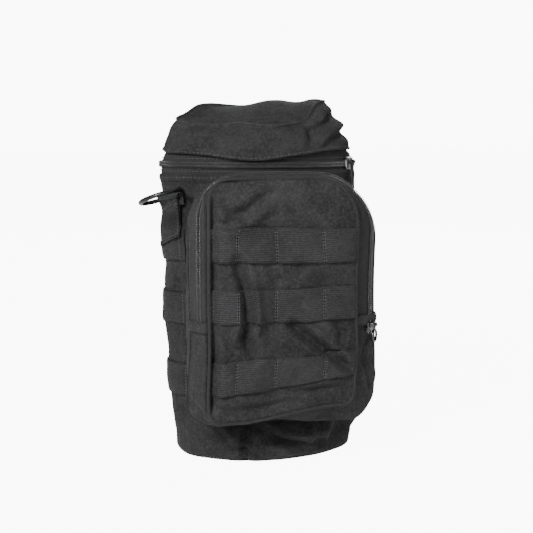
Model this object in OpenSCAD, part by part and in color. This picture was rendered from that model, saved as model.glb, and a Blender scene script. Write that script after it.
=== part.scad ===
// Soft zip-top bottle pouch with a zipped front pocket, webbing rows, a ring tab and back straps.
// Millimetres. +X right, the front faces -Y, +Z up, origin at the centre of the base's underside.

/* [Body] */
// Width of the pouch at its main zip
body_w = 150; // [140:1:160]
// Depth of the pouch at its main zip
body_d = 92; // [86:1:98]
// Width of the pouch just above its base
base_w = 133.6; // [126:0.2:140]
// Depth of the pouch just above its base
base_d = 85; // [80:1:90]
// Radius of the rounded sides of the oval
side_r = 26; // [24:1:30]
// Height of the body cloth
body_h = 214; // [200:1:230]
// Thickness of the padded body cloth
cloth = 1.6; // [1:0.1:2.5]
// Rounding where the wall meets the base
base_round = 5; // [2:0.5:8]

/* [Lid] */
// Height of the main zip's closing line
zip_z = 222; // [220:0.5:226]
// Height of the lid's cloth above the closing line, at the middle
lid_h = 39; // [34:1:44]
// How much higher the lid stands at the back than at the front
lid_slope = 14; // [8:1:18]

/* [Front pocket] */
// Distance from the body's middle to the face of the pocket
pocket_y = 86; // [80:1:90]
// Height of the hinge line where the pocket's zip ends
flap_z = 112; // [104:1:113]
// Width of the pocket's face
face_w = 106; // [100:1:112]
// Greatest width of the pocket
pocket_w = 140; // [130:1:144]

/* [Webbing] */
// Height of the woven tape
webbing_h = 24; // [20:0.5:26]
// Thickness of the woven tape
webbing_t = 1.4; // [1:0.1:2]

/* [Hardware] */
// Wire thickness of the ring
ring_wire = 3.2; // [2.4:0.1:4]
// Outer diameter of the ring
ring_d = 34; // [30:1:38]
// Angle round the body where the ring hangs
ring_turn = -44; // [-48:1:-40]
// Slope of the ring and of the fold that holds it
ring_tilt = 20; // [0:1:25]
// Angle round the body where the main zip's slider is parked
slider_turn = 42; // [36:1:43]
// Bore of the drain eyelet
eyelet_bore = 8; // [6:0.5:10]

/* [Hidden] */

seam = 0.15;                    // gap between pieces that are sewn together
part_gap = 0.35;                // gap between pieces that move apart
tape_t = 1;                     // thickness of a zip tape
coil_r = 0.95;                  // radius of one row of zip coil
coil_z = 1.25;                  // height of each coil row from the closing line
tape_in = 0.3;                  // how far the zip tape lies inside the body's outer face
tape_edge = 2.6;                // where the tapes end, from the closing line
lid_edge = 9;                   // where the lid's cloth starts above the closing line
axis_y = body_d / 2 + 1.3;      // lid's hinge line, behind the wall
back_turn = 155;                // the zip runs round to this angle on both sides

// ---- The body's plan: an oval of four arcs that meet in line ----

// Distance of the front arc's centre behind the middle
function arc_centre(a, b) = ((a - side_r) * (a - side_r) - (b - side_r) * (b - side_r)) / (2 * (b - side_r));
function arc_half(a, b) = atan2(a - side_r, arc_centre(a, b));
function wrap(t) = t > 180 ? t - 360 : t <= -180 ? t + 360 : t;

// Point d outside the oval of half sizes a and b, where its face looks at angle t (0 is the front)
function oval(a, b, t, d) =
  let (u = wrap(t), c = arc_centre(a, b), p = arc_half(a, b), s = [sin(u), -cos(u)])
  abs(u) <= p ? [0, c] + (b + c + d) * s
  : abs(u) < 180 - p ? [sign(u) * (a - side_r), 0] + (side_r + d) * s
  : [0, -c] + (b + c + d) * s;

// The wall swells from the base to the zip and rolls in at the foot
function swell(z) = pow(min(z, body_h) / body_h, 1.6);
function foot(z) = z >= base_round ? 0 : base_round - sqrt(base_round * base_round - pow(base_round - z, 2));
function half_w(z) = base_w / 2 + (body_w - base_w) / 2 * swell(z) - foot(z);
function half_d(z) = base_d / 2 + (body_d - base_d) / 2 * swell(z) - foot(z);
function wall(t, z, d) = let (p = oval(half_w(z), half_d(z), t, d)) [p[0], p[1], z];

// Front face of the body at sideways place x and height z
function front_y(x, z) =
  let (a = half_w(z), b = half_d(z), c = arc_centre(a, b), x1 = (a - side_r) + side_r * sin(arc_half(a, b)))
  abs(x) <= x1 ? c - sqrt(pow(b + c, 2) - x * x)
  : -sqrt(max(0, side_r * side_r - pow(abs(x) - (a - side_r), 2)));

// Angles of the stations round the oval
corner = arc_half(body_w / 2, body_d / 2);
function spread(from, to, n) = [for (i = [0 : n]) from + (to - from) * i / n];
function drop_last(list) = [for (i = [0 : len(list) - 2]) list[i]];
round_turns = concat(
  drop_last(spread(-corner, corner, 16)), drop_last(spread(corner, 180 - corner, 6)),
  drop_last(spread(180 - corner, 180 + corner, 16)), drop_last(spread(180 + corner, 360 - corner, 6)));
zip_turns = concat(
  drop_last(spread(-back_turn, corner - 180, 4)), drop_last(spread(corner - 180, -corner, 6)),
  drop_last(spread(-corner, corner, 16)), drop_last(spread(corner, 180 - corner, 6)),
  spread(180 - corner, back_turn, 4));

// ---- Skins ----

// Closed skin over rows of points. Each row is one cross-section; loop joins the last row to the first
module skin(rows, loop = false) {
  n = len(rows);
  m = len(rows[0]);
  walls = [for (i = [0 : (loop ? n : n - 1) - 1], j = [0 : m - 1], half = [0, 1])
    let (k = (i + 1) % n, l = (j + 1) % m)
    half == 0 ? [i * m + j, i * m + l, k * m + l] : [i * m + j, k * m + l, k * m + j]];
  ends = loop ? [] : [[for (j = [m - 1 : -1 : 0]) j], [for (j = [0 : m - 1]) (n - 1) * m + j]];
  polyhedron([for (row = rows) each row], concat(walls, ends), convexity = 8);
}

// Cloth on the body's wall: angles t, heights zs, from d0 to d1 outside the wall
function cloth_row(t, zs, d0, d1) = concat(
  [for (z = zs) wall(t, z, d1)],
  [for (i = [len(zs) - 1 : -1 : 0]) wall(t, zs[i], d0)]);
module patch(turns, zs, d0, d1, loop = false) {
  skin([for (t = turns) cloth_row(t, zs, d0, d1)], loop);
}

// Round bead along the body's wall at height z
module bead(turns, z, d, r) {
  skin([for (t = turns) [for (q = [0 : 60 : 300])
    let (p = oval(half_w(z), half_d(z), t, d + r * cos(q))) [p[0], p[1], z + r * sin(q)]]]);
}

// ---- Body ----

wall_zs = [2.6, 5, 14, 40, 75, 110, 150, 185, body_h];

module body_shell() {
  color("#232325") patch(round_turns, wall_zs, -cloth, 0, true);
}

module plan(z, d) {
  polygon([for (t = round_turns) oval(half_w(z), half_d(z), t, d)]);
}

base_t = 2.4;                   // thickness of the base panel
eyelet_r = 9;                   // outside of the eyelet's flange, sunk flush in the base
eyelet_neck = 5.6;              // outside of the eyelet's neck
flange_t = 0.7;                 // thickness of the eyelet's flange and washer
eyelet_h = base_t + 0.15 + flange_t; // eyelet's length, through the base

module base_panel() {
  color("#232325") difference() {
    linear_extrude(base_t) plan(base_t, -0.2);
    translate([0, 0, -1]) cylinder(r = eyelet_neck + 0.2, h = base_t + 2, $fn = 64);
    translate([0, 0, -1]) cylinder(r = eyelet_r + 0.4, h = flange_t + 1.2, $fn = 64);
  }
}

module drain_eyelet() {
  color("#1a1a1c") rotate_extrude($fn = 64) polygon([
    [eyelet_bore / 2, 0], [eyelet_r, 0], [eyelet_r, flange_t], [eyelet_neck, flange_t],
    [eyelet_neck, eyelet_h - flange_t], [eyelet_r - 0.4, eyelet_h - flange_t],
    [eyelet_r - 0.4, eyelet_h], [eyelet_bore / 2, eyelet_h]]);
}

module zip_lower_tape() {
  color("#1c1c1e") patch(zip_turns, [body_h + seam, zip_z - tape_edge], -tape_in - tape_t, -tape_in);
}

module zip_lower_coil() {
  color("#101012") bead(zip_turns, zip_z - coil_z, -tape_in - tape_t / 2, coil_r);
}

hinge_turns = spread(back_turn + 0.6, 360 - back_turn - 0.6, 10);

module hinge_strip_lower() {
  color("#232325") patch(hinge_turns, [body_h + seam, zip_z - 0.4], -tape_in - tape_t, -tape_in);
}

// ---- Lid ----

module hinge_strip_upper() {
  color("#232325") patch(hinge_turns, [zip_z + 0.4, zip_z + lid_edge - seam], -tape_in - tape_t, -tape_in);
}

module zip_upper_tape() {
  color("#1c1c1e") patch(zip_turns, [zip_z + tape_edge, zip_z + lid_edge - seam], -tape_in - tape_t, -tape_in);
}

module zip_upper_coil() {
  color("#101012") bead(zip_turns, zip_z + coil_z, -tape_in - tape_t / 2, coil_r);
}

// The lid tapers and leans back: u is the height in the lid, from 0 at its edge to 1 at its top
function lid_in(u) = -tape_in - 15 * pow(u, 2.2);
function lid_z(u, y) = zip_z + lid_edge + (lid_h - lid_edge) * u + lid_slope * u * y / body_d;
function lid_point(t, u, d) =
  let (p = oval(body_w / 2, body_d / 2, t, lid_in(u) + d)) [p[0], p[1], lid_z(u, p[1])];
lid_us = [0, 0.25, 0.5, 0.75];

module lid_wall() {
  color("#232325") skin([for (t = round_turns) concat(
    [for (u = lid_us) lid_point(t, u, 0)],
    [for (i = [len(lid_us) - 1 : -1 : 0]) lid_point(t, lid_us[i], -cloth)])], true);
}

// The top panel: rolled edge outside, hollow underneath
lid_top_outer = [0.765, 0.92, 1];
lid_top_inner = [0.765, 0.9];

module lid_top() {
  crown = [for (u = lid_top_outer) [for (t = round_turns) lid_point(t, u, u == 1 ? -5 : 0)]];
  under = [for (i = [1 : -1 : 0]) [for (t = round_turns) lid_point(t, lid_top_inner[i], -cloth - 4 * i)]];
  color("#232325") skin(concat([for (i = [1 : -1 : 0]) under[1 - i]], crown));
}

// ---- Main zip slider and pull ----

// Puts children on the body's wall at angle t, with -Y pointing out of it
module on_wall(t, z, d) {
  p = oval(half_w(z), half_d(z), t, d);
  translate([p[0], p[1], z]) rotate([0, 0, t]) children();
}

plate_l = 10;                   // slider's length along the zip
plate_w = 9;                    // slider's width across the zip
plate_t = 1.3;                  // slider's thickness
plate_d = 1.1;                  // slider's clearance from the middle of the coil
pin_r = 0.7;                    // pin between the crown's ears
pin_out = 3.7;                  // pin's distance from the slider's back face
pin_z = 1.2;                    // pin's height, from the slider's middle
eye_r = 2;                      // outside of the pull's eye
pull_w = 3.2;                   // width of the pull's neck
pull_l = 22;                    // length of the main pull below its pin
pull_neck = 6.5;                // length of its neck, below the pin
pull_tab_w = 5.2;               // width of its tab
pull_t = 1.4;                   // thickness of the pulls

// Slider seen from outside: flat plate with tapered ends, lengthwise along X, facing -Y
module slider_plate() {
  rotate([90, 0, 0]) linear_extrude(plate_t) polygon([
    [-plate_l / 2, -plate_w / 4], [-plate_l / 4, -plate_w / 2], [plate_l / 2, -plate_w / 2],
    [plate_l / 2, plate_w / 2], [-plate_l / 4, plate_w / 2], [-plate_l / 2, plate_w / 4]]);
}

// Two ears with a pin across them, which the pull's eye hangs on
module crown() {
  for (x = [-3.2, 2]) translate([x, -pin_out - 0.9, pin_z - 1.3]) cube([1.2, pin_out - plate_t + 0.91, 2.6]);
  translate([-2.5, -pin_out, pin_z]) rotate([0, 90, 0]) cylinder(r = pin_r, h = 5, $fn = 24);
}

// Puts children at the crown's pin
module on_pin() {
  translate([0, -pin_out, pin_z]) children();
}

// Eye round the pin, and the neck under it
module eye(neck_l) {
  difference() {
    union() {
      translate([-pull_w / 2, 0, 0]) rotate([0, 90, 0]) cylinder(r = eye_r, h = pull_w, $fn = 32);
      translate([-pull_w / 2, -pull_t / 2, -neck_l]) cube([pull_w, pull_t, neck_l]);
    }
    translate([-pull_w, 0, 0]) rotate([0, 90, 0]) cylinder(r = pin_r + part_gap, h = 2 * pull_w, $fn = 32);
  }
}

main_slider_d = -tape_in - tape_t / 2 + coil_r + 0.45;

module main_zip_slider() {
  color("#8a8a8e") on_wall(slider_turn, zip_z, main_slider_d) {
    slider_plate();
    crown();
  }
}

module main_zip_pull() {
  color("#161618") on_wall(slider_turn, zip_z, main_slider_d) on_pin() {
    eye(pull_neck + 0.5);
    translate([-pull_tab_w / 2, -pull_t / 2, -pull_l]) cube([pull_tab_w, pull_t, pull_l - pull_neck]);
  }
}

// ---- Front pocket ----

// Rows from the sewn rear seam to the face: share of the way from the body's wall to a flat
// plane, that plane's distance, half width, bottom, top and corner radius
rear_rows = [
  [0, 64, 62, 38, 190, 20, 0.4],
  [0.12, 64, 65, 35.5, 197, 23, 4.5],
  [0.62, 64, 68.5, 34, 212, 27, 0],
  [1, 64, pocket_w / 2, 34, 216.2, 28, 0]];
zip_row = [1, 75, 63.2, 37.5, 215.4, 24, 0];
face_row = [1, pocket_y - 1.9, face_w / 2 + 1.4, 43.4, 213.4, 16, 0];

// Outline of a pocket row, inset by e: 8 steps a side and 4 a corner, from the left foot upwards
function pocket_outline(row, e) =
  let (w = row[2] - e, z0 = row[3] + e, z1 = row[4] - e, r = row[5] - e, rb = max(4, row[5] * 0.62 - e))
  concat(
    spread_points([-w, z0 + rb], [-w, flap_z - part_gap], 3),
    spread_points([-w, flap_z + part_gap], [-w, z1 - r], 4),
    corner_points([-w + r, z1 - r], r, 180, 5),
    spread_points([-w + r, z1], [w - r, z1], 8),
    corner_points([w - r, z1 - r], r, 90, 5),
    spread_points([w, z1 - r], [w, flap_z + part_gap], 4),
    spread_points([w, flap_z - part_gap], [w, z0 + rb], 3),
    corner_points([w - rb, z0 + rb], rb, 0, 4),
    spread_points([w - rb, z0], [-w + rb, z0], 8),
    corner_points([-w + rb, z0 + rb], rb, 270, 4));
function spread_points(p, q, n) = [for (i = [0 : n]) p + (q - p) * i / n];
function corner_points(c, r, from, n) = [for (i = [1 : n - 1]) c + r * [cos(from - 90 * i / n), sin(from - 90 * i / n)]];
upper_from = 4;                 // first station above the hinge line
upper_to = 4 + 5 + 4 + 9 + 4 + 4; // last station above it
station_count = len(pocket_outline(zip_row, 0));

function pocket_point(row, p, dy) =
  let (y0 = front_y(p[0], p[1]) - row[6]) [p[0], y0 + (-row[1] - y0) * row[0] + dy, p[1]];
function pocket_section(outer, i, e, shift) = concat(
  [for (k = [0 : len(outer) - 1]) pocket_point(outer[k], pocket_outline(outer[k], 0)[i], 0)],
  [for (k = [len(outer) - 1 : -1 : 0]) pocket_point(outer[k], pocket_outline(outer[k], e)[i], shift[k])]);
function between(a, b, s) = a + (b - a) * s;

upper_stations = [upper_from : upper_to];
lower_stations = [for (i = [upper_to + 1 : station_count + upper_from - 1]) i % station_count];
tape_e = 0.9;

module pocket_rear_gusset() {
  shift = [0, -1.2, -1, 0];
  color("#232325") skin([for (i = [0 : station_count - 1]) pocket_section(rear_rows, i, 1.2, shift)], true);
}

rear_edge = between(rear_rows[3], zip_row, 0.02);
rear_stop = between(rear_rows[3], zip_row, 0.8);
front_start = between(zip_row, face_row, 0.24);
front_stop = face_row;

module pocket_rear_tape() {
  color("#1c1c1e") skin([for (i = upper_stations) pocket_section([rear_edge, rear_stop], i, tape_e, [0, 0])]);
}

module pocket_front_tape() {
  color("#1c1c1e") skin([for (i = upper_stations) pocket_section([front_start, front_stop], i, tape_e, [0, 0])]);
}

module pocket_lower_gusset() {
  color("#232325") skin([for (i = lower_stations)
    pocket_section([rear_edge, zip_row, face_row], i, 1.2, [0, 0, 0])]);
}

// Bead along a pocket outline in the plane at distance y, grown by g
module pocket_bead(row, y, g, r, stations) {
  skin([for (i = stations) let (
      p = pocket_outline(row, -g)[i],
      c = [0, 125],
      away = (p - c) / norm(p - c))
    [for (q = [0 : 60 : 300]) [p[0] + away[0] * r * cos(q), -y + r * sin(q), p[1] + away[1] * r * cos(q)]]]);
}

module pocket_rear_coil() {
  color("#101012") pocket_bead(zip_row, 73.85, -0.4, 0.85, upper_stations);
}

module pocket_front_coil() {
  color("#101012") pocket_bead(zip_row, 76.1, -0.6, 0.85, upper_stations);
}

piping_r = 1.1;

module pocket_piping_upper() {
  color("#1c1c1e") pocket_bead(face_row, pocket_y - 0.7, 0.6, piping_r, upper_stations);
}

module pocket_piping_lower() {
  color("#1c1c1e") pocket_bead(face_row, pocket_y - 0.7, 0.6, piping_r, lower_stations);
}

panel_t = 1.3;
function panel_outline() = pocket_outline(face_row, 1.3);

module pocket_panel_upper() {
  color("#28282a") translate([0, -pocket_y + panel_t, 0]) rotate([90, 0, 0]) linear_extrude(panel_t)
    polygon([for (i = upper_stations) panel_outline()[i]]);
}

module pocket_panel_lower() {
  color("#28282a") translate([0, -pocket_y + panel_t, 0]) rotate([90, 0, 0]) linear_extrude(panel_t)
    polygon([for (i = lower_stations) panel_outline()[i]]);
}

// ---- Pocket zip slider and pull ----

pocket_slider_z = flap_z - 5.4;
pocket_slider_turn = 51;

module at_pocket_slider() {
  translate([zip_row[2], -75, pocket_slider_z]) rotate([0, 0, pocket_slider_turn]) translate([0, -1.7, 0]) children();
}

module pocket_zip_slider() {
  color("#3a3a3d") at_pocket_slider() {
    rotate([0, 90, 0]) slider_plate();
    crown();
  }
}

loop_r = 4.9;                   // outside of the pocket pull's loop
loop_hole_r = 3.1;              // inside of the pocket pull's loop
loop_down = 8;                  // loop's middle below its pin

// Loop pull hanging on the crown's pin
module pocket_zip_pull() {
  color("#2c2c2f") at_pocket_slider() on_pin() {
    eye(loop_down - (loop_r + loop_hole_r) / 2 - 0.4);
    translate([0, pull_t / 2, -loop_down]) rotate([90, 0, 0]) linear_extrude(pull_t) difference() {
      circle(r = loop_r, $fn = 48);
      circle(r = loop_hole_r, $fn = 48);
    }
  }
}

// ---- Webbing ----

front_rows_z = [168, 126, 76.5];
front_channels = [-51.5, -33.9, -5.5, 28.2, 51.5];
front_web_y = pocket_y + 0.35;
channel_swell = 1.9;

// Wavy strip seen from above: flat at each stitched line, swelling between
function channel_y(x) =
  let (k = max([for (i = [0 : 3]) x >= front_channels[i] ? i : 0]),
       s = (x - front_channels[k]) / (front_channels[k + 1] - front_channels[k]))
  channel_swell * pow(sin(180 * min(1, max(0, s))), 0.7);
channel_xs = [for (k = [0 : 3], j = [0 : 5])
  front_channels[k] + (front_channels[k + 1] - front_channels[k]) * j / 6];
wave_xs = concat(channel_xs, [front_channels[4]]);

module front_row(z) {
  outer = [for (x = wave_xs) [x, -front_web_y - webbing_t - channel_y(x)]];
  inner = [for (i = [len(wave_xs) - 1 : -1 : 0]) [wave_xs[i], -front_web_y - channel_y(wave_xs[i])]];
  color("#2c2c2f") translate([0, 0, z - webbing_h / 2]) linear_extrude(webbing_h) polygon(concat(outer, inner));
}

module front_webbing_top() { front_row(front_rows_z[0]); }
module front_webbing_middle() { front_row(front_rows_z[1]); }
module front_webbing_bottom() { front_row(front_rows_z[2]); }

side_rows_z = [163, 115.5, 61.5];
side_turns = spread(53, 130, 10);

module side_row(side, z) {
  zs = [z - webbing_h / 2, z + webbing_h / 2];
  color("#2c2c2f") patch([for (t = side_turns) side * t], side > 0 ? zs : [zs[1], zs[0]], 0.35, 0.35 + webbing_t);
}

module left_webbing_top() { side_row(-1, side_rows_z[0]); }
module left_webbing_middle() { side_row(-1, side_rows_z[1]); }
module left_webbing_bottom() { side_row(-1, side_rows_z[2]); }
module right_webbing_top() { side_row(1, side_rows_z[0]); }
module right_webbing_middle() { side_row(1, side_rows_z[1]); }
module right_webbing_bottom() { side_row(1, side_rows_z[2]); }

back_rows_z = [172, 121, 70];
back_turns = spread(137, 223, 14);

module back_row(z) {
  color("#2c2c2f") patch(back_turns, [z - webbing_h / 2, z + webbing_h / 2], 0.35, 0.35 + webbing_t);
}

module back_webbing_top() { back_row(back_rows_z[0]); }
module back_webbing_middle() { back_row(back_rows_z[1]); }
module back_webbing_bottom() { back_row(back_rows_z[2]); }

// ---- Ring and its tab ----

ring_z = 199.5;
ring_out = 4.9;                 // ring's hinge line outside the wall
ring_mid_r = ring_d / 2 - ring_wire / 2;
sleeve_r = 3.1;                 // inside of the tab's fold round the wire
sleeve_l = 11;                  // width of the fold
tab_from = -95;
tab_to = -45;
tab_d = 2;                      // tab lies over the tape row, this far outside the wall
tab_foot = 163;                 // height of the tab's foot at its outer edge
tab_slant = 8;                  // how much higher the foot is at its inner edge
tab_head = 189.5;                 // height of the tab's head, under the fold
fold_t = 1.2;                   // thickness of the fold
fold_drop = ring_z - tab_head - 0.3; // how far the fold's stitched part hangs down

module carry_ring() {
  color("#141416") on_wall(ring_turn, ring_z, ring_out) rotate([0, -ring_tilt, 0]) translate([0, -ring_mid_r, 0])
    rotate_extrude($fn = 72) translate([ring_mid_r, 0]) circle(r = ring_wire / 2, $fn = 24);
}

// Doubled webbing sewn on the wall, its foot and head cut on the slant
module ring_tab() {
  color("#2c2c2f") skin([for (t = spread(tab_from, tab_to, 8)) let (s = (t - tab_from) / (tab_to - tab_from))
    cloth_row(t, [tab_foot + tab_slant * s, tab_head], tab_d, tab_d + 2)]);
}

// Head of the tab, folded round the wire of the ring
module ring_tab_fold() {
  color("#2c2c2f") on_wall(ring_turn, ring_z, ring_out) difference() {
    union() {
      rotate([0, 90 - ring_tilt, 0]) cylinder(r = sleeve_r + fold_t, h = sleeve_l, center = true, $fn = 48);
      translate([-sleeve_l / 2, sleeve_r + fold_t - 2.7, -fold_drop]) cube([sleeve_l, 2.4, fold_drop]);
    }
    rotate([0, 90 - ring_tilt, 0]) cylinder(r = sleeve_r, h = 2 * sleeve_l, center = true, $fn = 48);
  }
}

// ---- Back straps ----

strap_off = 14;                 // angle of each strap from the back's middle line
strap_half = 8;                 // half the angle that a strap covers
strap_top = 200;
strap_foot = 36;
strap_d = 2.6;                  // strap's inner face outside the wall
snap_z = 46;

function strap_turn(side) = 180 + side * strap_off;
function strap_span(side) = spread(strap_turn(side) - strap_half, strap_turn(side) + strap_half, 2);

// Upper end sewn to the wall
module strap_anchor(side) {
  color("#2c2c2f") patch(strap_span(side), [strap_top + 0.5, strap_top + 11], 0.35, strap_d + 1.4);
}

module back_strap(side) {
  color("#2c2c2f") patch(strap_span(side), spread(strap_foot, strap_top, 4), strap_d, strap_d + 1.6);
}

module snap_cap(side) {
  color("#161618") on_wall(strap_turn(side), snap_z, strap_d + 1.9)
    rotate([90, 0, 0]) cylinder(r = 7.5, h = 1.8, $fn = 48);
}

module snap_stud(side) {
  color("#161618") on_wall(strap_turn(side), snap_z, 0.3)
    rotate([90, 0, 0]) cylinder(r = 5, h = 1.9, $fn = 48);
}

module strap_anchor_left() { strap_anchor(1); }
module strap_anchor_right() { strap_anchor(-1); }
module back_strap_left() { back_strap(1); }
module back_strap_right() { back_strap(-1); }
module snap_cap_left() { snap_cap(1); }
module snap_cap_right() { snap_cap(-1); }
module snap_stud_left() { snap_stud(1); }
module snap_stud_right() { snap_stud(-1); }

body_shell();
base_panel();
drain_eyelet();
zip_lower_tape();
zip_lower_coil();
hinge_strip_lower();
zip_upper_tape();
zip_upper_coil();
hinge_strip_upper();
lid_wall();
lid_top();
main_zip_slider();
main_zip_pull();
pocket_rear_gusset();
pocket_lower_gusset();
pocket_rear_tape();
pocket_rear_coil();
pocket_front_tape();
pocket_front_coil();
pocket_panel_upper();
pocket_panel_lower();
pocket_piping_upper();
pocket_piping_lower();
pocket_zip_slider();
pocket_zip_pull();
front_webbing_top();
front_webbing_middle();
front_webbing_bottom();
left_webbing_top();
left_webbing_middle();
left_webbing_bottom();
right_webbing_top();
right_webbing_middle();
right_webbing_bottom();
back_webbing_top();
back_webbing_middle();
back_webbing_bottom();
ring_tab();
ring_tab_fold();
carry_ring();
strap_anchor_left();
strap_anchor_right();
back_strap_left();
back_strap_right();
snap_cap_left();
snap_cap_right();
snap_stud_left();
snap_stud_right();
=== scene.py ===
import math

import bmesh
import bpy
import numpy as np
from mathutils import Matrix, Vector, noise


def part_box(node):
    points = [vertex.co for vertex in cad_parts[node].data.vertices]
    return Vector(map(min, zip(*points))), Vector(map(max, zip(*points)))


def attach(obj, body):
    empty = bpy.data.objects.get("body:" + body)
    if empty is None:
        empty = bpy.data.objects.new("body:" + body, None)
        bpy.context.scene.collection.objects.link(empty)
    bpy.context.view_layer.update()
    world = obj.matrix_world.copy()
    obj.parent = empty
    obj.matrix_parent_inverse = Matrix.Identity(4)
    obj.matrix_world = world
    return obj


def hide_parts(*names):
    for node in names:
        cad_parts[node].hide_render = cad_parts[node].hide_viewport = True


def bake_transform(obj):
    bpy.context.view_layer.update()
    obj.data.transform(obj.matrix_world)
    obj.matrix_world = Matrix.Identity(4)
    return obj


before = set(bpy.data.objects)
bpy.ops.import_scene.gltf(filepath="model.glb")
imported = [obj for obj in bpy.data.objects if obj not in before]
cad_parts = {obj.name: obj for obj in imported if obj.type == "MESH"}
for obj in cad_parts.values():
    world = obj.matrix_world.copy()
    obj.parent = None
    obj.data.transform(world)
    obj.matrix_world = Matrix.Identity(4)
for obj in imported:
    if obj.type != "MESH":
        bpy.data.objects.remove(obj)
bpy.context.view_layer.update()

# ---- Studio ----
# A pale floor with broad soft lights above and at both sides, so that black cloth shows its folds.
# The camera stands a little to the left of the pouch's front and slightly above its middle.
aim = Vector((0.0016, -0.020, 0.145))
camera_turn, camera_rise, camera_far = math.radians(-14), math.radians(7), 0.9
back = Vector((
    math.sin(camera_turn) * math.cos(camera_rise),
    -math.cos(camera_turn) * math.cos(camera_rise),
    math.sin(camera_rise)))
camera_data = bpy.data.cameras.new("camera")
camera_data.lens = 80.8
camera = bpy.data.objects.new("camera", camera_data)
bpy.context.scene.collection.objects.link(camera)
camera.location = aim + back * camera_far
camera.rotation_euler = (-back).to_track_quat("-Z", "Y").to_euler()
bpy.context.scene.camera = camera


def place(tree, kind, inputs=None, **settings):
    """Adds a shader node; an input is a plain value or another node's socket."""
    made = tree.nodes.new(kind)
    for name, value in settings.items():
        setattr(made, name, value)
    for key, value in (inputs or {}).items():
        if isinstance(value, bpy.types.NodeSocket):
            tree.links.new(value, made.inputs[key])
        else:
            made.inputs[key].default_value = value
    return made


def new_material(name):
    material = bpy.data.materials.new(name)
    material.use_nodes = True
    tree = material.node_tree
    return material, tree, tree.nodes["Principled BSDF"]


def math_node(tree, operation, a, b=0.0):
    return place(tree, "ShaderNodeMath", {0: a, 1: b}, operation=operation).outputs[0]


def soft_light(name, place_at, size, watts, tint=(1, 1, 1)):
    data = bpy.data.lights.new(name, "AREA")
    data.shape, data.size, data.energy, data.color = "SQUARE", size, watts, tint
    lamp = bpy.data.objects.new(name, data)
    bpy.context.scene.collection.objects.link(lamp)
    lamp.location = place_at
    lamp.rotation_euler = (Vector((0, 0, 0.13)) - Vector(place_at)).to_track_quat("-Z", "Y").to_euler()


soft_light("key", (-0.98, -1.18, 1.02), 0.36, 90)
soft_light("fill", (1.4, -1.3, 0.6), 1.0, 18)
soft_light("top", (0.3, 0.5, 1.7), 0.8, 5)
soft_light("rear", (0.7, 1.6, 0.9), 1.0, 34)
soft_light("low", (-0.2, -1.5, 0.22), 0.7, 9)

world = bpy.data.worlds.new("world")
bpy.context.scene.world = world
world.use_nodes = True
tree = world.node_tree
glow = place(tree, "ShaderNodeBackground", {"Color": (1, 1, 1, 1), "Strength": 0.3})
paper = place(tree, "ShaderNodeBackground", {"Color": (1, 1, 1, 1), "Strength": 10.0})
seen = place(tree, "ShaderNodeLightPath").outputs["Is Camera Ray"]
choice = place(tree, "ShaderNodeMixShader", {0: seen, 1: glow.outputs[0], 2: paper.outputs[0]})
tree.links.new(choice.outputs[0], tree.nodes["World Output"].inputs[0])

floor_material, tree, shader = new_material("floor")
speckle = place(tree, "ShaderNodeTexNoise", {"Scale": 40.0, "Detail": 2.0})
pale = place(tree, "ShaderNodeMix", {0: speckle.outputs["Fac"], 6: (0.86, 0.86, 0.86, 1), 7: (0.9, 0.9, 0.9, 1)},
             data_type="RGBA")
tree.links.new(pale.outputs[2], shader.inputs["Base Color"])
shader.inputs["Roughness"].default_value = 0.9
shader.inputs["Specular IOR Level"].default_value = 0.1
bright = place(tree, "ShaderNodeEmission", {"Strength": 12.0})
seen = math_node(tree, "MULTIPLY", place(tree, "ShaderNodeLightPath").outputs["Is Camera Ray"], 0.8)
washed = place(tree, "ShaderNodeMixShader", {0: seen, 1: shader.outputs[0], 2: bright.outputs[0]})
tree.links.new(washed.outputs[0], tree.nodes["Material Output"].inputs[0])
floor_mesh = bpy.data.meshes.new("floor")
floor_mesh.from_pydata([(-9, -9, -0.0006), (9, -9, -0.0006), (9, 9, -0.0006), (-9, 9, -0.0006)], [],
                       [(0, 1, 2, 3)])
floor_mesh.materials.append(floor_material)
floor = bpy.data.objects.new("floor", floor_mesh)
bpy.context.scene.collection.objects.link(floor)

# ---- Body cloth ----
# The oval tube of black coated polyester that holds the bottle.
# One wrap of cloth, sewn up the back, turned in over the base at its foot and hemmed under the zip tape.
wrap_low, wrap_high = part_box("body_shell")
top_w, top_d, hem_z = wrap_high.x, wrap_high.y, wrap_high.z
foot_w, foot_d = top_w - 0.0082, top_d - 0.0035
side_r = 0.026
foot_round = 0.008
body_steps, body_rows = 236, 112


def smooth(x):
    x = np.clip(x, 0, 1)
    return x * x * (3 - 2 * x)


def hill(x, middle, width):
    """A rounded rise, 1 at its middle and fading to 0 on both sides."""
    return np.exp(-(((x - middle) / width) ** 2))


def oval(half_w, half_d, turn, out=0.0):
    """Points on the pouch's plan, four arcs that meet in line; turn is the way the cloth faces, 0 for front."""
    u = (np.asarray(turn, float) + 180) % 360 - 180
    k, m = half_w - side_r, half_d - side_r
    centre = (k * k - m * m) / (2 * m)
    half = np.degrees(np.arctan2(k, centre))
    sx, sy = np.sin(np.radians(u)), -np.cos(np.radians(u))
    big = half_d + centre + out
    front, rear = np.abs(u) <= half, np.abs(u) >= 180 - half
    x = np.where(front | rear, big * sx, np.sign(u) * k + (side_r + out) * sx)
    y = np.where(front, centre + big * sy, np.where(rear, big * sy - centre, (side_r + out) * sy))
    return x, y


def even_turns(start, stop, count):
    """Angles from start to stop at even distances along the oval, and their distances."""
    fine = np.linspace(start, stop, 2400)
    x, y = oval(top_w, top_d, fine)
    run = np.concatenate([[0], np.cumsum(np.hypot(np.diff(x), np.diff(y)))])
    wanted = np.linspace(0, run[-1], count)
    return np.interp(wanted, run, fine), wanted


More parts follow.
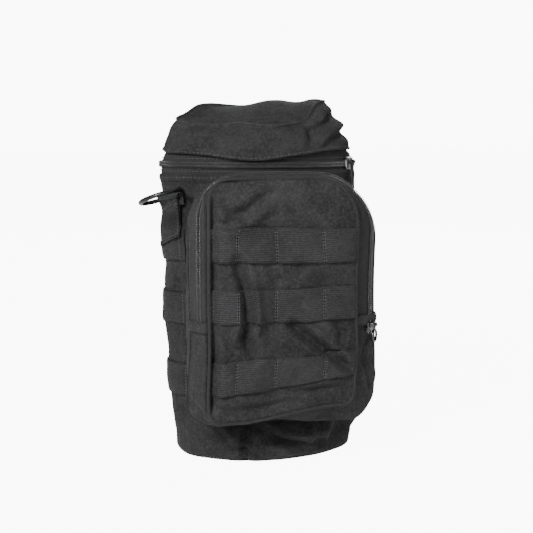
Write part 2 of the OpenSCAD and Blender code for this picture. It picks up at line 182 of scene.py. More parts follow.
def wall(turn, z, out=0.0):
    """Points on the outside of the body cloth, before its folds."""
    swell = (np.minimum(z, hem_z) / hem_z) ** 1.6
    half_w = foot_w + (top_w - foot_w) * swell
    half_d = foot_d + (top_d - foot_d) * swell
    x, y = oval(half_w, half_d, turn, out)
    lean = 0.0040 * np.clip(1 - z / 0.07, 0, 1) ** 2
    return np.stack([x + lean, y, z + 0 * x], -1)


def outward(turn):
    t = np.radians(np.asarray(turn, float))
    return np.stack([np.sin(t), -np.cos(t), 0 * t], -1)


def crease(x, z, path, width, depth):
    """Sculpts one pressed fold along a path: a sharp valley with a soft ridge beside it."""
    best, along = np.full(np.shape(x), 1e9), np.zeros(np.shape(x))
    legs = [np.subtract(b, a) for a, b in zip(path, path[1:])]
    total, done = sum(np.hypot(*leg) for leg in legs), 0.0
    for start, leg in zip(path, legs):
        size = np.hypot(*leg)
        t = np.clip(((x - start[0]) * leg[0] + (z - start[1]) * leg[1]) / size**2, 0, 1)
        side = np.hypot(x - start[0] - t * leg[0], z - start[1] - t * leg[1])
        nearer = side < best
        best, along = np.where(nearer, side, best), np.where(nearer, (done + t * size) / total, along)
        done += size
    fade = np.sin(math.pi * np.clip(0.06 + 0.88 * along, 0, 1)) ** 0.6
    return depth * fade * (0.5 * np.exp(-((best / width - 1.9) ** 2)) - np.exp(-((best / width) ** 2)))


def crumple(points, scale, size, seed=0.0):
    """Broad uneven billows, the same on every run."""
    flat = points.reshape(-1, 3) / scale
    found = [noise.noise(Vector((p[0] + seed, p[1] - seed, p[2] + 2 * seed))) for p in flat]
    return size * np.array(found).reshape(points.shape[:-1])


def billows(points, *layers):
    """Crumples of several sizes together; each layer is its scale, size and seed."""
    return sum(crumple(points, *layer) for layer in layers)


def cloth_piece(name, points, uv, closed=False, thick=0.0012):
    """Makes a mesh sheet from a grid of points, with its own weave coordinates in metres."""
    rows, cols = points.shape[:2]
    last = cols if closed else cols - 1
    i, j = np.meshgrid(np.arange(rows - 1), np.arange(last), indexing="ij")
    k = (j + 1) % cols
    corners = np.stack([i * cols + j, i * cols + k, (i + 1) * cols + k, (i + 1) * cols + j], -1)
    mesh = bpy.data.meshes.new(name)
    mesh.from_pydata(points.reshape(-1, 3).tolist(), [], corners.reshape(-1, 4).tolist())
    lay = mesh.uv_layers.new(name="weave")
    spread = np.stack([uv[i, j], uv[i, j + 1], uv[i + 1, j + 1], uv[i + 1, j]], 2)
    lay.data.foreach_set("uv", spread.reshape(-1).astype(np.float32))
    mesh.polygons.foreach_set("use_smooth", np.ones(len(mesh.polygons), bool))
    piece = bpy.data.objects.new(name, mesh)
    bpy.context.scene.collection.objects.link(piece)
    if thick:
        solid = piece.modifiers.new("thickness", "SOLIDIFY")
        solid.thickness, solid.offset, solid.use_rim = thick, -1.0, True
    return piece


def belongs(piece, body_name, slot, *nodes, material=None):
    """Puts a piece on its body, gives it its material and hides the CAD nodes it stands for."""
    if material:
        piece.data.materials.append(material)
    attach(piece, body_name)
    if nodes:
        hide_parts(*nodes)


def distances(line):
    """How far along a line each of its points lies."""
    return np.concatenate([[0], np.cumsum(np.linalg.norm(np.diff(line, axis=0), axis=1))])


def steps_up(grid):
    """How far up a grid each row lies, on average."""
    return np.concatenate([[0], np.cumsum(np.linalg.norm(np.diff(grid, axis=0), axis=2).mean(1))])


def weave_grid(across, up):
    """Weave coordinates for a grid whose columns lie at distances across and rows at heights up."""
    return np.stack(np.broadcast_arrays(np.asarray(across)[None, :], np.asarray(up)[:, None]), -1).astype(float)


def new_group(name, inputs, outputs):
    group = bpy.data.node_groups.new(name, "ShaderNodeTree")
    for label, value in inputs.items():
        socket = group.interface.new_socket(label, in_out="INPUT", socket_type="NodeSocketFloat")
        socket.default_value = value
    for label in outputs:
        group.interface.new_socket(label, in_out="OUTPUT", socket_type="NodeSocketFloat")
    return group, group.nodes.new("NodeGroupInput"), group.nodes.new("NodeGroupOutput")


def weave_axes(tree, spacing_u, spacing_v):
    """The sheet's own coordinates, counted in threads each way."""
    split = place(tree, "ShaderNodeSeparateXYZ", {0: place(tree, "ShaderNodeUVMap", uv_map="weave").outputs[0]})
    return (math_node(tree, "DIVIDE", split.outputs[0], spacing_u),
            math_node(tree, "DIVIDE", split.outputs[1], spacing_v))


def thread_bump(tree, count):
    """How high a thread stands across its width."""
    return math_node(tree, "ABSOLUTE", math_node(tree, "SINE", math_node(tree, "MULTIPLY", count, math.pi)))


def plain_weave_group():
    """Threads over and under each other, with slubs and lint on top of them."""
    group, given, out = new_group(
        "plain weave", {"Spacing": 0.00075, "Slub": 0.5}, ["Height", "Shade"])
    u, v = weave_axes(group, given.outputs["Spacing"], given.outputs["Spacing"])
    warp, weft = thread_bump(group, u), thread_bump(group, v)
    both = math_node(group, "MULTIPLY", warp, weft)
    turn = math_node(group, "MULTIPLY", math_node(group, "SINE", math_node(group, "MULTIPLY", u, math.pi)),
                     math_node(group, "SINE", math_node(group, "MULTIPLY", v, math.pi)))
    over = math_node(group, "GREATER_THAN", turn, 0.0)
    top = place(group, "ShaderNodeMix", {0: over, 2: math_node(group, "POWER", weft, 1.6), 3: warp}).outputs[0]
    cell = math_node(group, "MULTIPLY", top, math_node(group, "POWER", both, 0.3))
    uv = place(group, "ShaderNodeUVMap", uv_map="weave").outputs[0]
    runs = []
    for stretch in ((260, 900, 1), (900, 260, 1)):
        spun = place(group, "ShaderNodeMapping", {"Vector": uv, "Scale": stretch})
        runs.append(place(group, "ShaderNodeTexNoise",
                          {"Vector": spun.outputs[0], "Scale": 1.0, "Detail": 2.0}).outputs["Fac"])
    slub = math_node(group, "MULTIPLY", math_node(group, "ADD", runs[0], runs[1]), 0.5)
    group.links.new(math_node(group, "ADD", cell, math_node(group, "MULTIPLY", slub, given.outputs["Slub"])),
                    out.inputs["Height"])
    # Shade: the raised threads painted lighter and the hollows between them painted darker, as painted shade,
    # plus the slubs' own tone
    group.links.new(math_node(group, "ADD", math_node(group, "MULTIPLY", cell, 0.35), slub), out.inputs["Shade"])
    return group


def wear_group():
    """Patches where the cloth has faded or picked up dust: 0 fresh, 1 greyest."""
    group, given, out = new_group("fading", {"Scale": 42.0, "Amount": 0.5}, ["Fade"])
    spot = place(group, "ShaderNodeTexCoord").outputs["Object"]
    broad = place(group, "ShaderNodeTexNoise", {"Vector": spot, "Scale": given.outputs["Scale"], "Detail": 5.0,
                                               "Roughness": 0.62})
    fine = place(group, "ShaderNodeTexNoise", {"Vector": spot, "Scale": 560.0, "Detail": 3.0, "Roughness": 0.7})
    dust = place(group, "ShaderNodeMapRange", {0: fine.outputs["Fac"], 1: 0.42, 2: 0.72, 3: -0.35, 4: 1.1})
    patch = place(group, "ShaderNodeMapRange", {0: broad.outputs["Fac"], 1: 0.35, 2: 0.7, 3: 0.0, 4: 1.0})
    total = math_node(group, "ADD", dust.outputs[0], patch.outputs[0])
    group.links.new(math_node(group, "MULTIPLY", total, given.outputs["Amount"]), out.inputs["Fade"])
    return group


plain_weave, fading = plain_weave_group(), wear_group()


def cloth_material(name, dark, light, spacing=0.00075, depth=0.00016, rough=0.88):
    """Black coated polyester: plain weave with painted shade between the threads and painted light on their tops,
    faded patches, matt with a faint bloom.
    """
    material, tree, shader = new_material(name)
    weave = place(tree, "ShaderNodeGroup", {}, node_tree=plain_weave)
    weave.inputs["Spacing"].default_value = spacing
    weave.inputs["Slub"].default_value = 0.8
    fade = place(tree, "ShaderNodeGroup", {}, node_tree=fading)
    fade.inputs["Amount"].default_value = 0.8
    # Colour: painted shade from the weave (raised threads lighter, hollows between them darker) and the slubs'
    # own tone, plus faded, dusty patches
    shade = place(tree, "ShaderNodeMapRange", {0: weave.outputs["Shade"], 1: 0.3, 2: 1.0, 3: 0.0, 4: 0.6})
    painted_shade_and_fade = math_node(tree, "ADD", shade.outputs[0], math_node(tree, "MULTIPLY", fade.outputs["Fade"], 0.5))
    colour = place(tree, "ShaderNodeMix", {0: painted_shade_and_fade, 6: (*dark, 1), 7: (*light, 1)}, data_type="RGBA")
    tree.links.new(colour.outputs[2], shader.inputs["Base Color"])
    bump = place(tree, "ShaderNodeBump", {"Height": weave.outputs["Height"], "Strength": 0.9, "Distance": depth})
    tree.links.new(bump.outputs[0], shader.inputs["Normal"])
    ruff = place(tree, "ShaderNodeMapRange",
                 {0: weave.outputs["Shade"], 1: 0.3, 2: 1.0, 3: rough - 0.1, 4: rough})
    tree.links.new(ruff.outputs[0], shader.inputs["Roughness"])
    shader.inputs["Sheen Weight"].default_value = 0.01
    shader.inputs["Sheen Roughness"].default_value = 0.45
    shader.inputs["Specular IOR Level"].default_value = 0.1
    return material


cloth = cloth_material("pouch cloth", (0.0024, 0.0024, 0.0025), (0.020, 0.020, 0.0207))


def sewn_down(x, z):
    """1 on the line where the pocket is sewn to the body, fading to 0 beside it."""
    across, up = np.abs(x - 0.0023) - 0.0268, np.abs(z - 0.1150) - 0.0410
    away = np.hypot(np.maximum(across, 0), np.maximum(up, 0)) + np.minimum(np.maximum(across, up), 0) - 0.034
    return hill(away, 0, 0.008)


def body_cloth_at(turn, z, out=0.0):
    """Points on the body cloth as it hangs, creased over the base and rolled in at its foot."""
    turn, z = np.broadcast_arrays(np.asarray(turn, float), np.asarray(z, float))
    flat = wall(turn, z)
    x, u = flat[..., 0], (turn + 180) % 360 - 180
    roll = foot_round * (1 - np.sqrt(np.clip(1 - (1 - np.minimum(z, foot_round) / foot_round) ** 2, 0, 1)))
    ahead = smooth((95 - np.abs(u)) / 30)
    push = billows(flat, (0.055, 0.0034, 3.1), (0.021, 0.0022, 7.7), (0.009, 0.0005, 4.4))
    near_foot = smooth((0.052 - z) / 0.03) * (0.4 + 0.6 * smooth(z / 0.010))
    push += 0.0085 * smooth((60 - np.abs(u)) / 40) * near_foot
    push += 0.0150 * hill(u, 84, 36) * hill(z, 0.034, 0.017)
    left_side = smooth((-u - 50) / 25) * smooth((-u < 130) * (130 + u) / 25)
    push += 0.0020 * left_side * hill(z, 0.086, 0.034)
    for path, width, depth in (
            ([(-0.060, 0.038), (-0.034, 0.018), (-0.019, 0.004)], 0.0048, 0.0062),
            ([(-0.022, 0.036), (-0.020, 0.016), (-0.018, 0.002)], 0.0032, 0.0056),
            ([(-0.013, 0.031), (0.004, 0.019), (0.026, 0.011)], 0.0032, 0.0064),
            ([(-0.010, 0.021), (0.012, 0.016), (0.036, 0.014)], 0.0026, 0.0036),
            ([(-0.040, 0.008), (-0.020, 0.013), (-0.006, 0.006)], 0.0028, 0.0030),
            ([(0.060, 0.036), (0.044, 0.014), (0.018, 0.006)], 0.0060, 0.0050),
            ([(0.034, 0.032), (0.030, 0.020), (0.036, 0.010)], 0.0034, 0.0032),
            ([(-0.074, 0.120), (-0.070, 0.080), (-0.066, 0.055)], 0.0060, 0.0022)):
        push += ahead * crease(x, z, path, width, depth)
    held = smooth((hem_z - z) / 0.02) * (0.35 + 0.65 * smooth(z / 0.006)) * (1 - ahead * sewn_down(x, z))
    return flat + outward(turn) * (push * held - roll + out)[..., None]


turns, body_run = even_turns(-180, 180, body_steps + 1)
heights = np.concatenate([np.linspace(0, 1, 14)[:-1] ** 1.5 * 0.02, np.linspace(0.02, hem_z, body_rows - 13)])
body = body_cloth_at(turns[None, :-1], heights[:, None])
body_cloth = cloth_piece("body_cloth", body, weave_grid(body_run, heights), closed=True, thick=0.0014)
belongs(body_cloth, "pouch", "pouch_cloth", "body_shell", material=cloth)


# ---- Base ----
# A doubled oval of the same cloth sewn inside the foot of the body, flat on whatever the pouch stands on.
# A black metal eyelet in its middle lets water out.
eyelet_low, eyelet_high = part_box("drain_eyelet")
base_rings = 16
rim = body_cloth_at(turns[:-1], 0.0004)
inner = outward(turns[:-1]) * (eyelet_high.x * 0.72)
share = np.linspace(0, 1, base_rings)[:, None, None]
base = rim * (1 - share) + inner * share
base[..., 2] = 0.0009 + 0.0006 * (1 - share[..., 0]) * share[..., 0]
base_uv = np.concatenate([base, base[:, :1]], 1)[..., :2]
base_cloth = cloth_piece("base_cloth", base[::-1], base_uv[::-1], closed=True, thick=0.0008)
belongs(base_cloth, "pouch", "pouch_cloth", "base_panel", material=cloth)


def metal_wear_group():
    """Fine scratches and rubbed patches: 0 as made, 1 worn."""
    group, given, out = new_group("metal wear", {"Scratches": 0.5}, ["Wear", "Height"])
    spot = place(group, "ShaderNodeTexCoord").outputs["Object"]
    drawn = place(group, "ShaderNodeMapping", {"Vector": spot, "Scale": (300, 2600, 900)})
    lines = place(group, "ShaderNodeTexNoise", {"Vector": drawn.outputs[0], "Scale": 1.0, "Detail": 3.0})
    rubbed = place(group, "ShaderNodeTexNoise", {"Vector": spot, "Scale": 260.0, "Detail": 3.0})
    cut = place(group, "ShaderNodeMapRange", {0: lines.outputs["Fac"], 1: 0.55, 2: 0.75})
    patch = place(group, "ShaderNodeMapRange", {0: rubbed.outputs["Fac"], 1: 0.5, 2: 0.75})
    both = math_node(group, "ADD", cut.outputs[0], patch.outputs[0])
    group.links.new(math_node(group, "MULTIPLY", both, given.outputs["Scratches"]), out.inputs["Wear"])
    group.links.new(lines.outputs["Fac"], out.inputs["Height"])
    return group


metal_wear = metal_wear_group()


def hardware_material(name, base_colour, worn_colour, metallic, rough_low, rough_high, scratches=0.5, gloss=0.5):
    """Metal or enamelled wire, worn a little on its faces."""
    material, tree, shader = new_material(name)
    worn = place(tree, "ShaderNodeGroup", {}, node_tree=metal_wear)
    worn.inputs["Scratches"].default_value = scratches
    colour = place(tree, "ShaderNodeMix", {0: worn.outputs["Wear"], 6: (*base_colour, 1), 7: (*worn_colour, 1)},
                   data_type="RGBA")
    tree.links.new(colour.outputs[2], shader.inputs["Base Color"])
    rough = place(tree, "ShaderNodeMapRange",
                  {0: worn.outputs["Wear"], 1: 0.0, 2: 1.0, 3: rough_low, 4: rough_high})
    tree.links.new(rough.outputs[0], shader.inputs["Roughness"])
    bump = place(tree, "ShaderNodeBump", {"Height": worn.outputs["Height"], "Strength": 0.15,
                                          "Distance": 0.00004})
    tree.links.new(bump.outputs[0], shader.inputs["Normal"])
    shader.inputs["Metallic"].default_value = metallic
    shader.inputs["Specular IOR Level"].default_value = gloss
    return material


def show_node(node, material):
    """Gives a CAD node its finish."""
    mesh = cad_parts[node].data
    mesh.materials.clear()
    mesh.materials.append(material)


show_node("drain_eyelet", hardware_material(
    "eyelet black oxide", (0.02, 0.02, 0.022), (0.12, 0.12, 0.125), 1.0, 0.34, 0.6))

# ---- Main zip, pouch side ----
# Half of a coil zip sewn inside the top hem and run round the front and both sides.
# Herringbone tape, a row of nylon coil along its edge, and a turned hem with two rows of stitching.
zip_end = 155
zip_turns, zip_run = even_turns(-zip_end, zip_end, 300)
closing_z = (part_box("zip_lower_coil")[1].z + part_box("zip_upper_coil")[0].z) / 2
tape_in = 0.0004
tape_sunk = -tape_in - 0.0006
coil_gap, coil_out = 0.00102, -tape_in + 0.0003


def herringbone_group():
    """Slanting ribs that turn back every few threads, as on zip tape."""
    group, given, out = new_group("herringbone", {"Spacing": 0.0009}, ["Height", "Shade"])
    u, v = weave_axes(group, given.outputs["Spacing"], given.outputs["Spacing"])
    zigzag = math_node(group, "PINGPONG", v, 2.0)
    rib = thread_bump(group, math_node(group, "ADD", u, zigzag))
    cross = thread_bump(group, math_node(group, "MULTIPLY", v, 2.0))
    height = math_node(group, "ADD", rib, math_node(group, "MULTIPLY", cross, 0.3))
    group.links.new(height, out.inputs["Height"])
    # Shade: the raised ribs painted lighter and the grooves between them darker, as painted shade
    group.links.new(math_node(group, "MULTIPLY", height, 0.6), out.inputs["Shade"])
    return group


def ribbed_group():
    """Thick cords across the tape, bound by threads; the raised cords and knuckles are painted lighter and the
    grooves darker, as painted shade, with paler lint specks on the raised parts.
    """
    group, given, out = new_group("ribbed weave", {"Spacing": 0.0014}, ["Height", "Shade"])
    u, v = weave_axes(group, given.outputs["Spacing"], given.outputs["Spacing"])
    cord = math_node(group, "POWER", thread_bump(group, v), 0.7)
    shifted = math_node(group, "ADD", u, math_node(group, "MULTIPLY", math_node(group, "FLOOR", v), 0.5))
    knuckle = thread_bump(group, shifted)
    height = math_node(group, "MULTIPLY", cord,
                       math_node(group, "ADD", 0.45, math_node(group, "MULTIPLY", knuckle, 0.55)))
    uv = place(group, "ShaderNodeUVMap", uv_map="weave").outputs[0]
    lint = place(group, "ShaderNodeTexNoise", {"Vector": uv, "Scale": 1500.0, "Detail": 1.0})
    speck = place(group, "ShaderNodeMapRange", {0: lint.outputs["Fac"], 1: 0.52, 2: 0.7, 3: 0.0, 4: 0.7})
    group.links.new(height, out.inputs["Height"])
    # Shade: painted shade from the rib height (raised parts lighter, grooves darker), with lint specks on the
    # raised parts
    group.links.new(math_node(group, "ADD", math_node(group, "MULTIPLY", height, 0.55),
                              math_node(group, "MULTIPLY", speck.outputs[0], height)), out.inputs["Shade"])
    return group


def tape_material(name, weave_group, dark, light, spacing, depth, rough):
    """Woven tape with its own rib, the raised threads painted lighter and the grooves darker as painted shade,
    with faded, dusty patches.
    """
    material, tree, shader = new_material(name)
    weave = place(tree, "ShaderNodeGroup", {}, node_tree=weave_group)
    weave.inputs["Spacing"].default_value = spacing
    fade = place(tree, "ShaderNodeGroup", {}, node_tree=fading)
    fade.inputs["Amount"].default_value = 0.7
    # Colour: the weave's painted shade (raised threads lighter, grooves darker) plus faded, dusty patches
    painted_shade_and_fade = math_node(tree, "ADD", weave.outputs["Shade"], math_node(tree, "MULTIPLY", fade.outputs["Fade"], 0.4))
    colour = place(tree, "ShaderNodeMix", {0: painted_shade_and_fade, 6: (*dark, 1), 7: (*light, 1)}, data_type="RGBA",
                   clamp_factor=True)
    tree.links.new(colour.outputs[2], shader.inputs["Base Color"])
    bump = place(tree, "ShaderNodeBump", {"Height": weave.outputs["Height"], "Strength": 1.0, "Distance": depth})
    tree.links.new(bump.outputs[0], shader.inputs["Normal"])
    ruff = place(tree, "ShaderNodeMapRange",
                 {0: weave.outputs["Shade"], 1: 0.0, 2: 1.0, 3: rough - 0.15, 4: rough})
    tree.links.new(ruff.outputs[0], shader.inputs["Roughness"])
    shader.inputs["Sheen Weight"].default_value = 0.01
    shader.inputs["Specular IOR Level"].default_value = 0.1
    return material


herringbone, ribbed = herringbone_group(), ribbed_group()
zip_tape = tape_material("zip tape", herringbone, (0.0022, 0.0022, 0.0023), (0.018, 0.018, 0.0187), 0.0009,
                         0.0002, 0.85)
zip_nylon = hardware_material("zip nylon", (0.014, 0.014, 0.0145), (0.045, 0.045, 0.0465), 0.0, 0.28, 0.5, 0.3)
thread = hardware_material("sewing thread", (0.012, 0.012, 0.0125), (0.034, 0.034, 0.035), 0.0, 0.6, 0.8, 0.6)


def add_piece(name, points, faces, material, smooth_faces=True):
    mesh = bpy.data.meshes.new(name)
    mesh.from_pydata(np.asarray(points).reshape(-1, 3).tolist(), [], faces)
    mesh.polygons.foreach_set("use_smooth", np.full(len(mesh.polygons), smooth_faces))
    mesh.materials.append(material)
    piece = bpy.data.objects.new(name, mesh)
    bpy.context.scene.collection.objects.link(piece)
    return piece


def wound_coil(name, path, out_way, up_way, pitch=0.00155, radius=0.00088, wire=0.00036):
    """A row of zip coil: nylon wire wound along a path, flattened a little against the tape."""
    run = distances(path)
    steps = int(run[-1] / pitch * 9)
    at = np.linspace(0, run[-1], steps)
    middle, out, up = (np.stack([np.interp(at, run, part[:, i]) for i in range(3)], -1)
                       for part in (path, out_way, up_way))
    phase = 2 * math.pi * at / pitch
    line = middle + radius * (0.8 * np.cos(phase)[:, None] * out + 1.15 * np.sin(phase)[:, None] * up)
    return tube(name, line, wire, 5, zip_nylon)


def tube(name, line, radius, sides, material, closed=False):
    """A round cord along a line of points."""
    ahead = np.gradient(line, axis=0)
    if closed:
        ahead = np.roll(line, -1, 0) - np.roll(line, 1, 0)
    ahead /= np.linalg.norm(ahead, axis=1)[:, None]
    side = np.cross(ahead, (0.12, 0.31, 0.94))
    side /= np.linalg.norm(side, axis=1)[:, None]
    other = np.cross(ahead, side)
    q = np.linspace(0, 2 * math.pi, sides, endpoint=False)
    ring = line[:, None] + radius * (np.cos(q)[None, :, None] * side[:, None]
                                     + np.sin(q)[None, :, None] * other[:, None])
    count = len(line)
    faces = [(i * sides + j, i * sides + (j + 1) % sides, (i + 1) % count * sides + (j + 1) % sides,
              (i + 1) % count * sides + j) for i in range(count if closed else count - 1) for j in range(sides)]
    if not closed:
        faces += [tuple(range(sides))[::-1], tuple((count - 1) * sides + j for j in range(sides))]
    return add_piece(name, ring, faces, material)


def stitches(name, lines, body_name, pitch=0.0031, length=0.0021, radius=0.00026):
    """Lock stitches along lines of points: a short raised loop of thread at each pitch."""
    quarters = (0, 1.5708, 3.1416, 4.7124)
    points, faces = [], []
    for line in lines:
        line = np.asarray(line)
        run = distances(line)
        for at in np.arange(pitch / 2, run[-1] - length / 2, pitch):
            a, b = (Vector([np.interp(at + k * length / 2, run, line[:, i]) for i in range(3)]) for k in (-1, 1))
            way = (b - a).normalized()
            side = way.orthogonal().normalized()
            other = way.cross(side)
            start = len(points)
            points.append(a)
            for share in (0.25, 0.75):
                points += [a.lerp(b, share) + radius * (math.cos(q) * side + math.sin(q) * other)
                           for q in quarters]
            points.append(b)
            for j in range(4):
                k = (j + 1) % 4
                faces += [(start, start + 1 + k, start + 1 + j),
                          (start + 1 + j, start + 1 + k, start + 5 + k, start + 5 + j),
                          (start + 5 + j, start + 5 + k, start + 9)]
    belongs(add_piece(name, [tuple(p) for p in points], faces, thread), body_name, "binding")


tape_z = np.linspace(hem_z - 0.003, closing_z - 0.0001, 6)
lower_tape = cloth_piece("main_zip_tape_lower", body_cloth_at(zip_turns, tape_z[:, None], tape_sunk),
                         weave_grid(zip_run, tape_z), thick=0.0009)
belongs(lower_tape, "pouch", "zip_tape", "zip_lower_tape", material=zip_tape)

coil_turns, _ = even_turns(-zip_end, zip_end, 700)
up = np.tile((0.0, 0.0, 1.0), (len(coil_turns), 1))
lower_coil = wound_coil("main_zip_coil_lower", wall(coil_turns, closing_z - coil_gap, coil_out),
                        outward(coil_turns), up)
belongs(lower_coil, "pouch", "zip_coil", "zip_lower_coil")

hem_rise = 0.0032 * smooth((turns[None, :-1] - 4) / 34) * smooth((80 - turns[None, :-1]) / 40)
hem_rows = np.array([-0.0048, -0.0042, -0.0030, -0.0015, 0.0000, 0.0007]) + hem_z
hem_out = np.array([-0.0002, 0.0004, 0.0007, 0.0007, 0.0005, -0.0003])
upward = np.array([0, 0, 1.0])
hem_points = body_cloth_at(turns[None, :-1], hem_rows[:, None], hem_out[:, None])
hem_points = hem_points + hem_rise[..., None] * upward
hem = cloth_piece("top_hem", hem_points, weave_grid(body_run, hem_rows * 1.4), closed=True, thick=0.0008)
belongs(hem, "pouch", "pouch_cloth", material=cloth)
hem_seam = body_cloth_at(turns[:-1], hem_z - 0.0014, 0.0008) + hem_rise[0][:, None] * upward
stitches("top_hem_stitches", [hem_seam], "pouch")
tape_seam = 0.0046
stitches("main_zip_tape_stitches_lower", [wall(zip_turns, closing_z - tape_seam, -tape_in)], "pouch")

# ---- Lid hinge ----
# A plain strip of body cloth at the back, between the two ends of the main zip.
# It is sewn to the body and to the lid.
hinge_turns, hinge_run = even_turns(zip_end - 1, 361 - zip_end, 60)
hinge_z = np.linspace(hem_z - 0.003, closing_z + 0.0105, 26)
hinge_points = wall(hinge_turns, hinge_z[:, None], -0.0001)
hinge = cloth_piece("lid_hinge_cloth", hinge_points, weave_grid(hinge_run, hinge_z), thick=0.0012)
hinge.data.materials.append(cloth)
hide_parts("hinge_strip_lower", "hinge_strip_upper")
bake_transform(hinge)

# ---- Main zip, lid side ----
# The other half of the zip, sewn under the lid's lip.
# Its herringbone tape leans in with the lid at both sides, and its coil meets the pouch's.


def lean_in(turn, z, out=0.0):
    """The wall above the zip, which draws in towards the lid at both sides."""
    flat = wall(turn, z, out)
    way = outward(turn)
    return flat - way * (0.44 * np.clip(z - closing_z - 0.001, 0, 1) * np.abs(way[..., 0]) ** 1.5)[..., None]


upper_z = np.linspace(closing_z + 0.0001, closing_z + 0.0125, 8)
tucked = 0.0016 * smooth((upper_z - closing_z - 0.007) / 0.004)[:, None]
upper_tape = cloth_piece("main_zip_tape_upper", lean_in(zip_turns, upper_z[:, None], tape_sunk - tucked),
                         weave_grid(zip_run, upper_z), thick=0.0009)
belongs(upper_tape, "lid", "zip_tape", "zip_upper_tape", material=zip_tape)
upper_coil = wound_coil("main_zip_coil_upper", wall(coil_turns, closing_z + coil_gap, coil_out),
                        outward(coil_turns), up)
belongs(upper_coil, "lid", "zip_coil", "zip_upper_coil")
stitches("main_zip_tape_stitches_upper", [lean_in(zip_turns, closing_z + tape_seam, -tape_in)], "lid")

# ---- Lid ----
# A soft cap: a side band sewn to an oval top panel, with the seam allowance turned up inside.
# It holds no stiffener, so its front slumps, its top dips and the band falls into folds over the zip.
lid_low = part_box("lid_wall")[0]
band_rows, top_rows = 52, 30


def lip_height(x):
    """The band's lower edge: lowest in front of the middle of the zip."""
    sag = 0.0052 * hill(x, -0.014, 0.028) - 0.0020 * smooth((x - 0.02) / 0.03)
    return lid_low.z - 0.0006 - sag


def rim_height(x, y):
    """The seam between band and top panel."""
    rise = 0.2508 + 0.0134 * smooth((y + 0.032) / 0.066)
    rise += 0.0034 * smooth((x + 0.01) / 0.04) * smooth((y + 0.03) / 0.05)
    rise += 0.0026 * hill(x, -0.036, 0.020) * smooth((y + 0.040) / 0.03)
    rise -= 0.0038 * smooth((-x - 0.040) / 0.016)
    rise += 0.0120 * smooth((x - 0.028) / 0.018) * smooth((0.034 - y) / 0.05) * smooth((0.068 - x) / 0.020)
    rise -= 0.0046 * hill(x, -0.041, 0.014) * smooth((0.004 - y) / 0.02)
    return rise - 0.0020 * hill(x, 0.004, 0.018) * smooth((-y) / 0.02)


def lid_band_at(turn, v):
    """v runs from 0 at the lip to 1 at the seam round the top panel."""
    turn, v = np.broadcast_arrays(np.asarray(turn, float), np.asarray(v, float))
    sx, sy = outward(turn)[..., 0], outward(turn)[..., 1]
    far_in = 0.0175 + 0.0035 * sx + 0.006 * np.maximum(0, sx) ** 2 + 0.001 * np.maximum(0, -sy)
    x1, y1 = oval(top_w, top_d, turn, 0.0)
    rim_x, rim_y = x1 - sx * far_in, y1 - sy * far_in
    front = smooth(-sy / 0.4)
    low = lip_height(x1) * front + lip_height(0.08) * (1 - front)
    high = rim_height(rim_x, rim_y)
    belly = np.sin(math.pi * np.clip(v * 1.1, 0, 1))
    puff = 0.0022 * (1 - 0.7 * np.abs(sx) ** 2) * belly + 0.0018 * hill(v, 0, 0.07)
    edge_in = (0.0046 + 0.0022 * np.maximum(0, sx)) * np.abs(sx) ** 1.5
    inward = edge_in + (far_in - edge_in) * v ** (1.5 - 0.42 * np.abs(sx) ** 2)
    z = low + (high - low) * v
    p = np.stack([x1, y1, z], -1)
    fold = billows(p, (0.034, 0.0044, 1.3), (0.015, 0.0020, 5.1), (0.007, 0.0005, 3.7))
    ahead = smooth(-sy / 0.35)
    for path, width, depth in (
            ([(-0.052, 0.2535), (-0.060, 0.242), (-0.070, 0.235)], 0.0040, 0.0040),
            ([(-0.044, 0.2510), (-0.050, 0.243), (-0.052, 0.234)], 0.0034, 0.0026),
            ([(-0.036, 0.2500), (-0.026, 0.243), (-0.016, 0.240)], 0.0040, 0.0016),
            ([(0.058, 0.2590), (0.046, 0.250), (0.034, 0.243), (0.030, 0.237)], 0.0042, 0.0048),
            ([(0.068, 0.2500), (0.056, 0.243), (0.044, 0.238)], 0.0036, 0.0034),
            ([(0.026, 0.2520), (0.034, 0.246), (0.036, 0.240)], 0.0034, 0.0018)):
        fold += ahead * crease(x1 - sx * inward, z, path, width, depth)
    fold *= smooth(v / 0.12) * (0.35 + 0.65 * smooth((1 - v) / 0.15))
    out = puff - inward + fold + 0.0012
    return np.stack([x1 + sx * out, y1 + sy * out, z], -1)


v = np.linspace(0, 1, band_rows)
band = lid_band_at(turns[None, :-1], v[:, None])
seam_line = band[-1]
allowance = seam_line + outward(turns[:-1]) * 0.0006 + np.array([0, 0, 0.0011])
band = np.concatenate([band, allowance[None]])
lid_band = cloth_piece("lid_band", band, weave_grid(body_run, np.append(v, 1.03) * 0.034), closed=True,
                       thick=0.0013)
belongs(lid_band, "lid", "pouch_cloth", "lid_wall", material=cloth)
stitches("lid_lip_stitches", [lid_band_at(turns, 0.07) + outward(turns) * 0.0002], "lid")

share = np.linspace(0, 1, top_rows)[:, None]
middle = np.array([(seam_line[:, 0].max() + seam_line[:, 0].min()) / 2, 0.002, rim_height(0.0, 0.0)])
top = seam_line[None] * (1 - share[..., None]) + middle * share[..., None]
ringed = rim_height(top[..., 0], top[..., 1])
ringed += (seam_line[None, :, 2] - ringed[:1]) * (1 - share) ** 3
dip = -0.0082 * hill(top[..., 0], -0.026, 0.030) * hill(top[..., 1], -0.006, 0.022) * smooth(share / 0.15)
hump = 0.0050 * hill(top[..., 0], 0.016, 0.022) * hill(top[..., 1], 0.012, 0.020)
slack = billows(top, (0.034, 0.0034, 9.4), (0.017, 0.0006, 2.2)) * smooth(share / 0.2)
top[..., 2] = ringed + dip + hump + slack
top_uv = np.concatenate([top, top[:, :1]], 1)[..., :2]
lid_top = cloth_piece("lid_top_panel", top, top_uv, closed=True, thick=0.0013)
belongs(lid_top, "lid", "pouch_cloth", "lid_top", material=cloth)

# ---- Main zip slider and pull ----
# A plated slider with two ears and a pin, parked at the zip's right-hand end.
# Its flat black pull hangs straight down from the pin and swings on it.
pin_rise, pin_out = 0.0012, 0.0037
slider_turn = 42


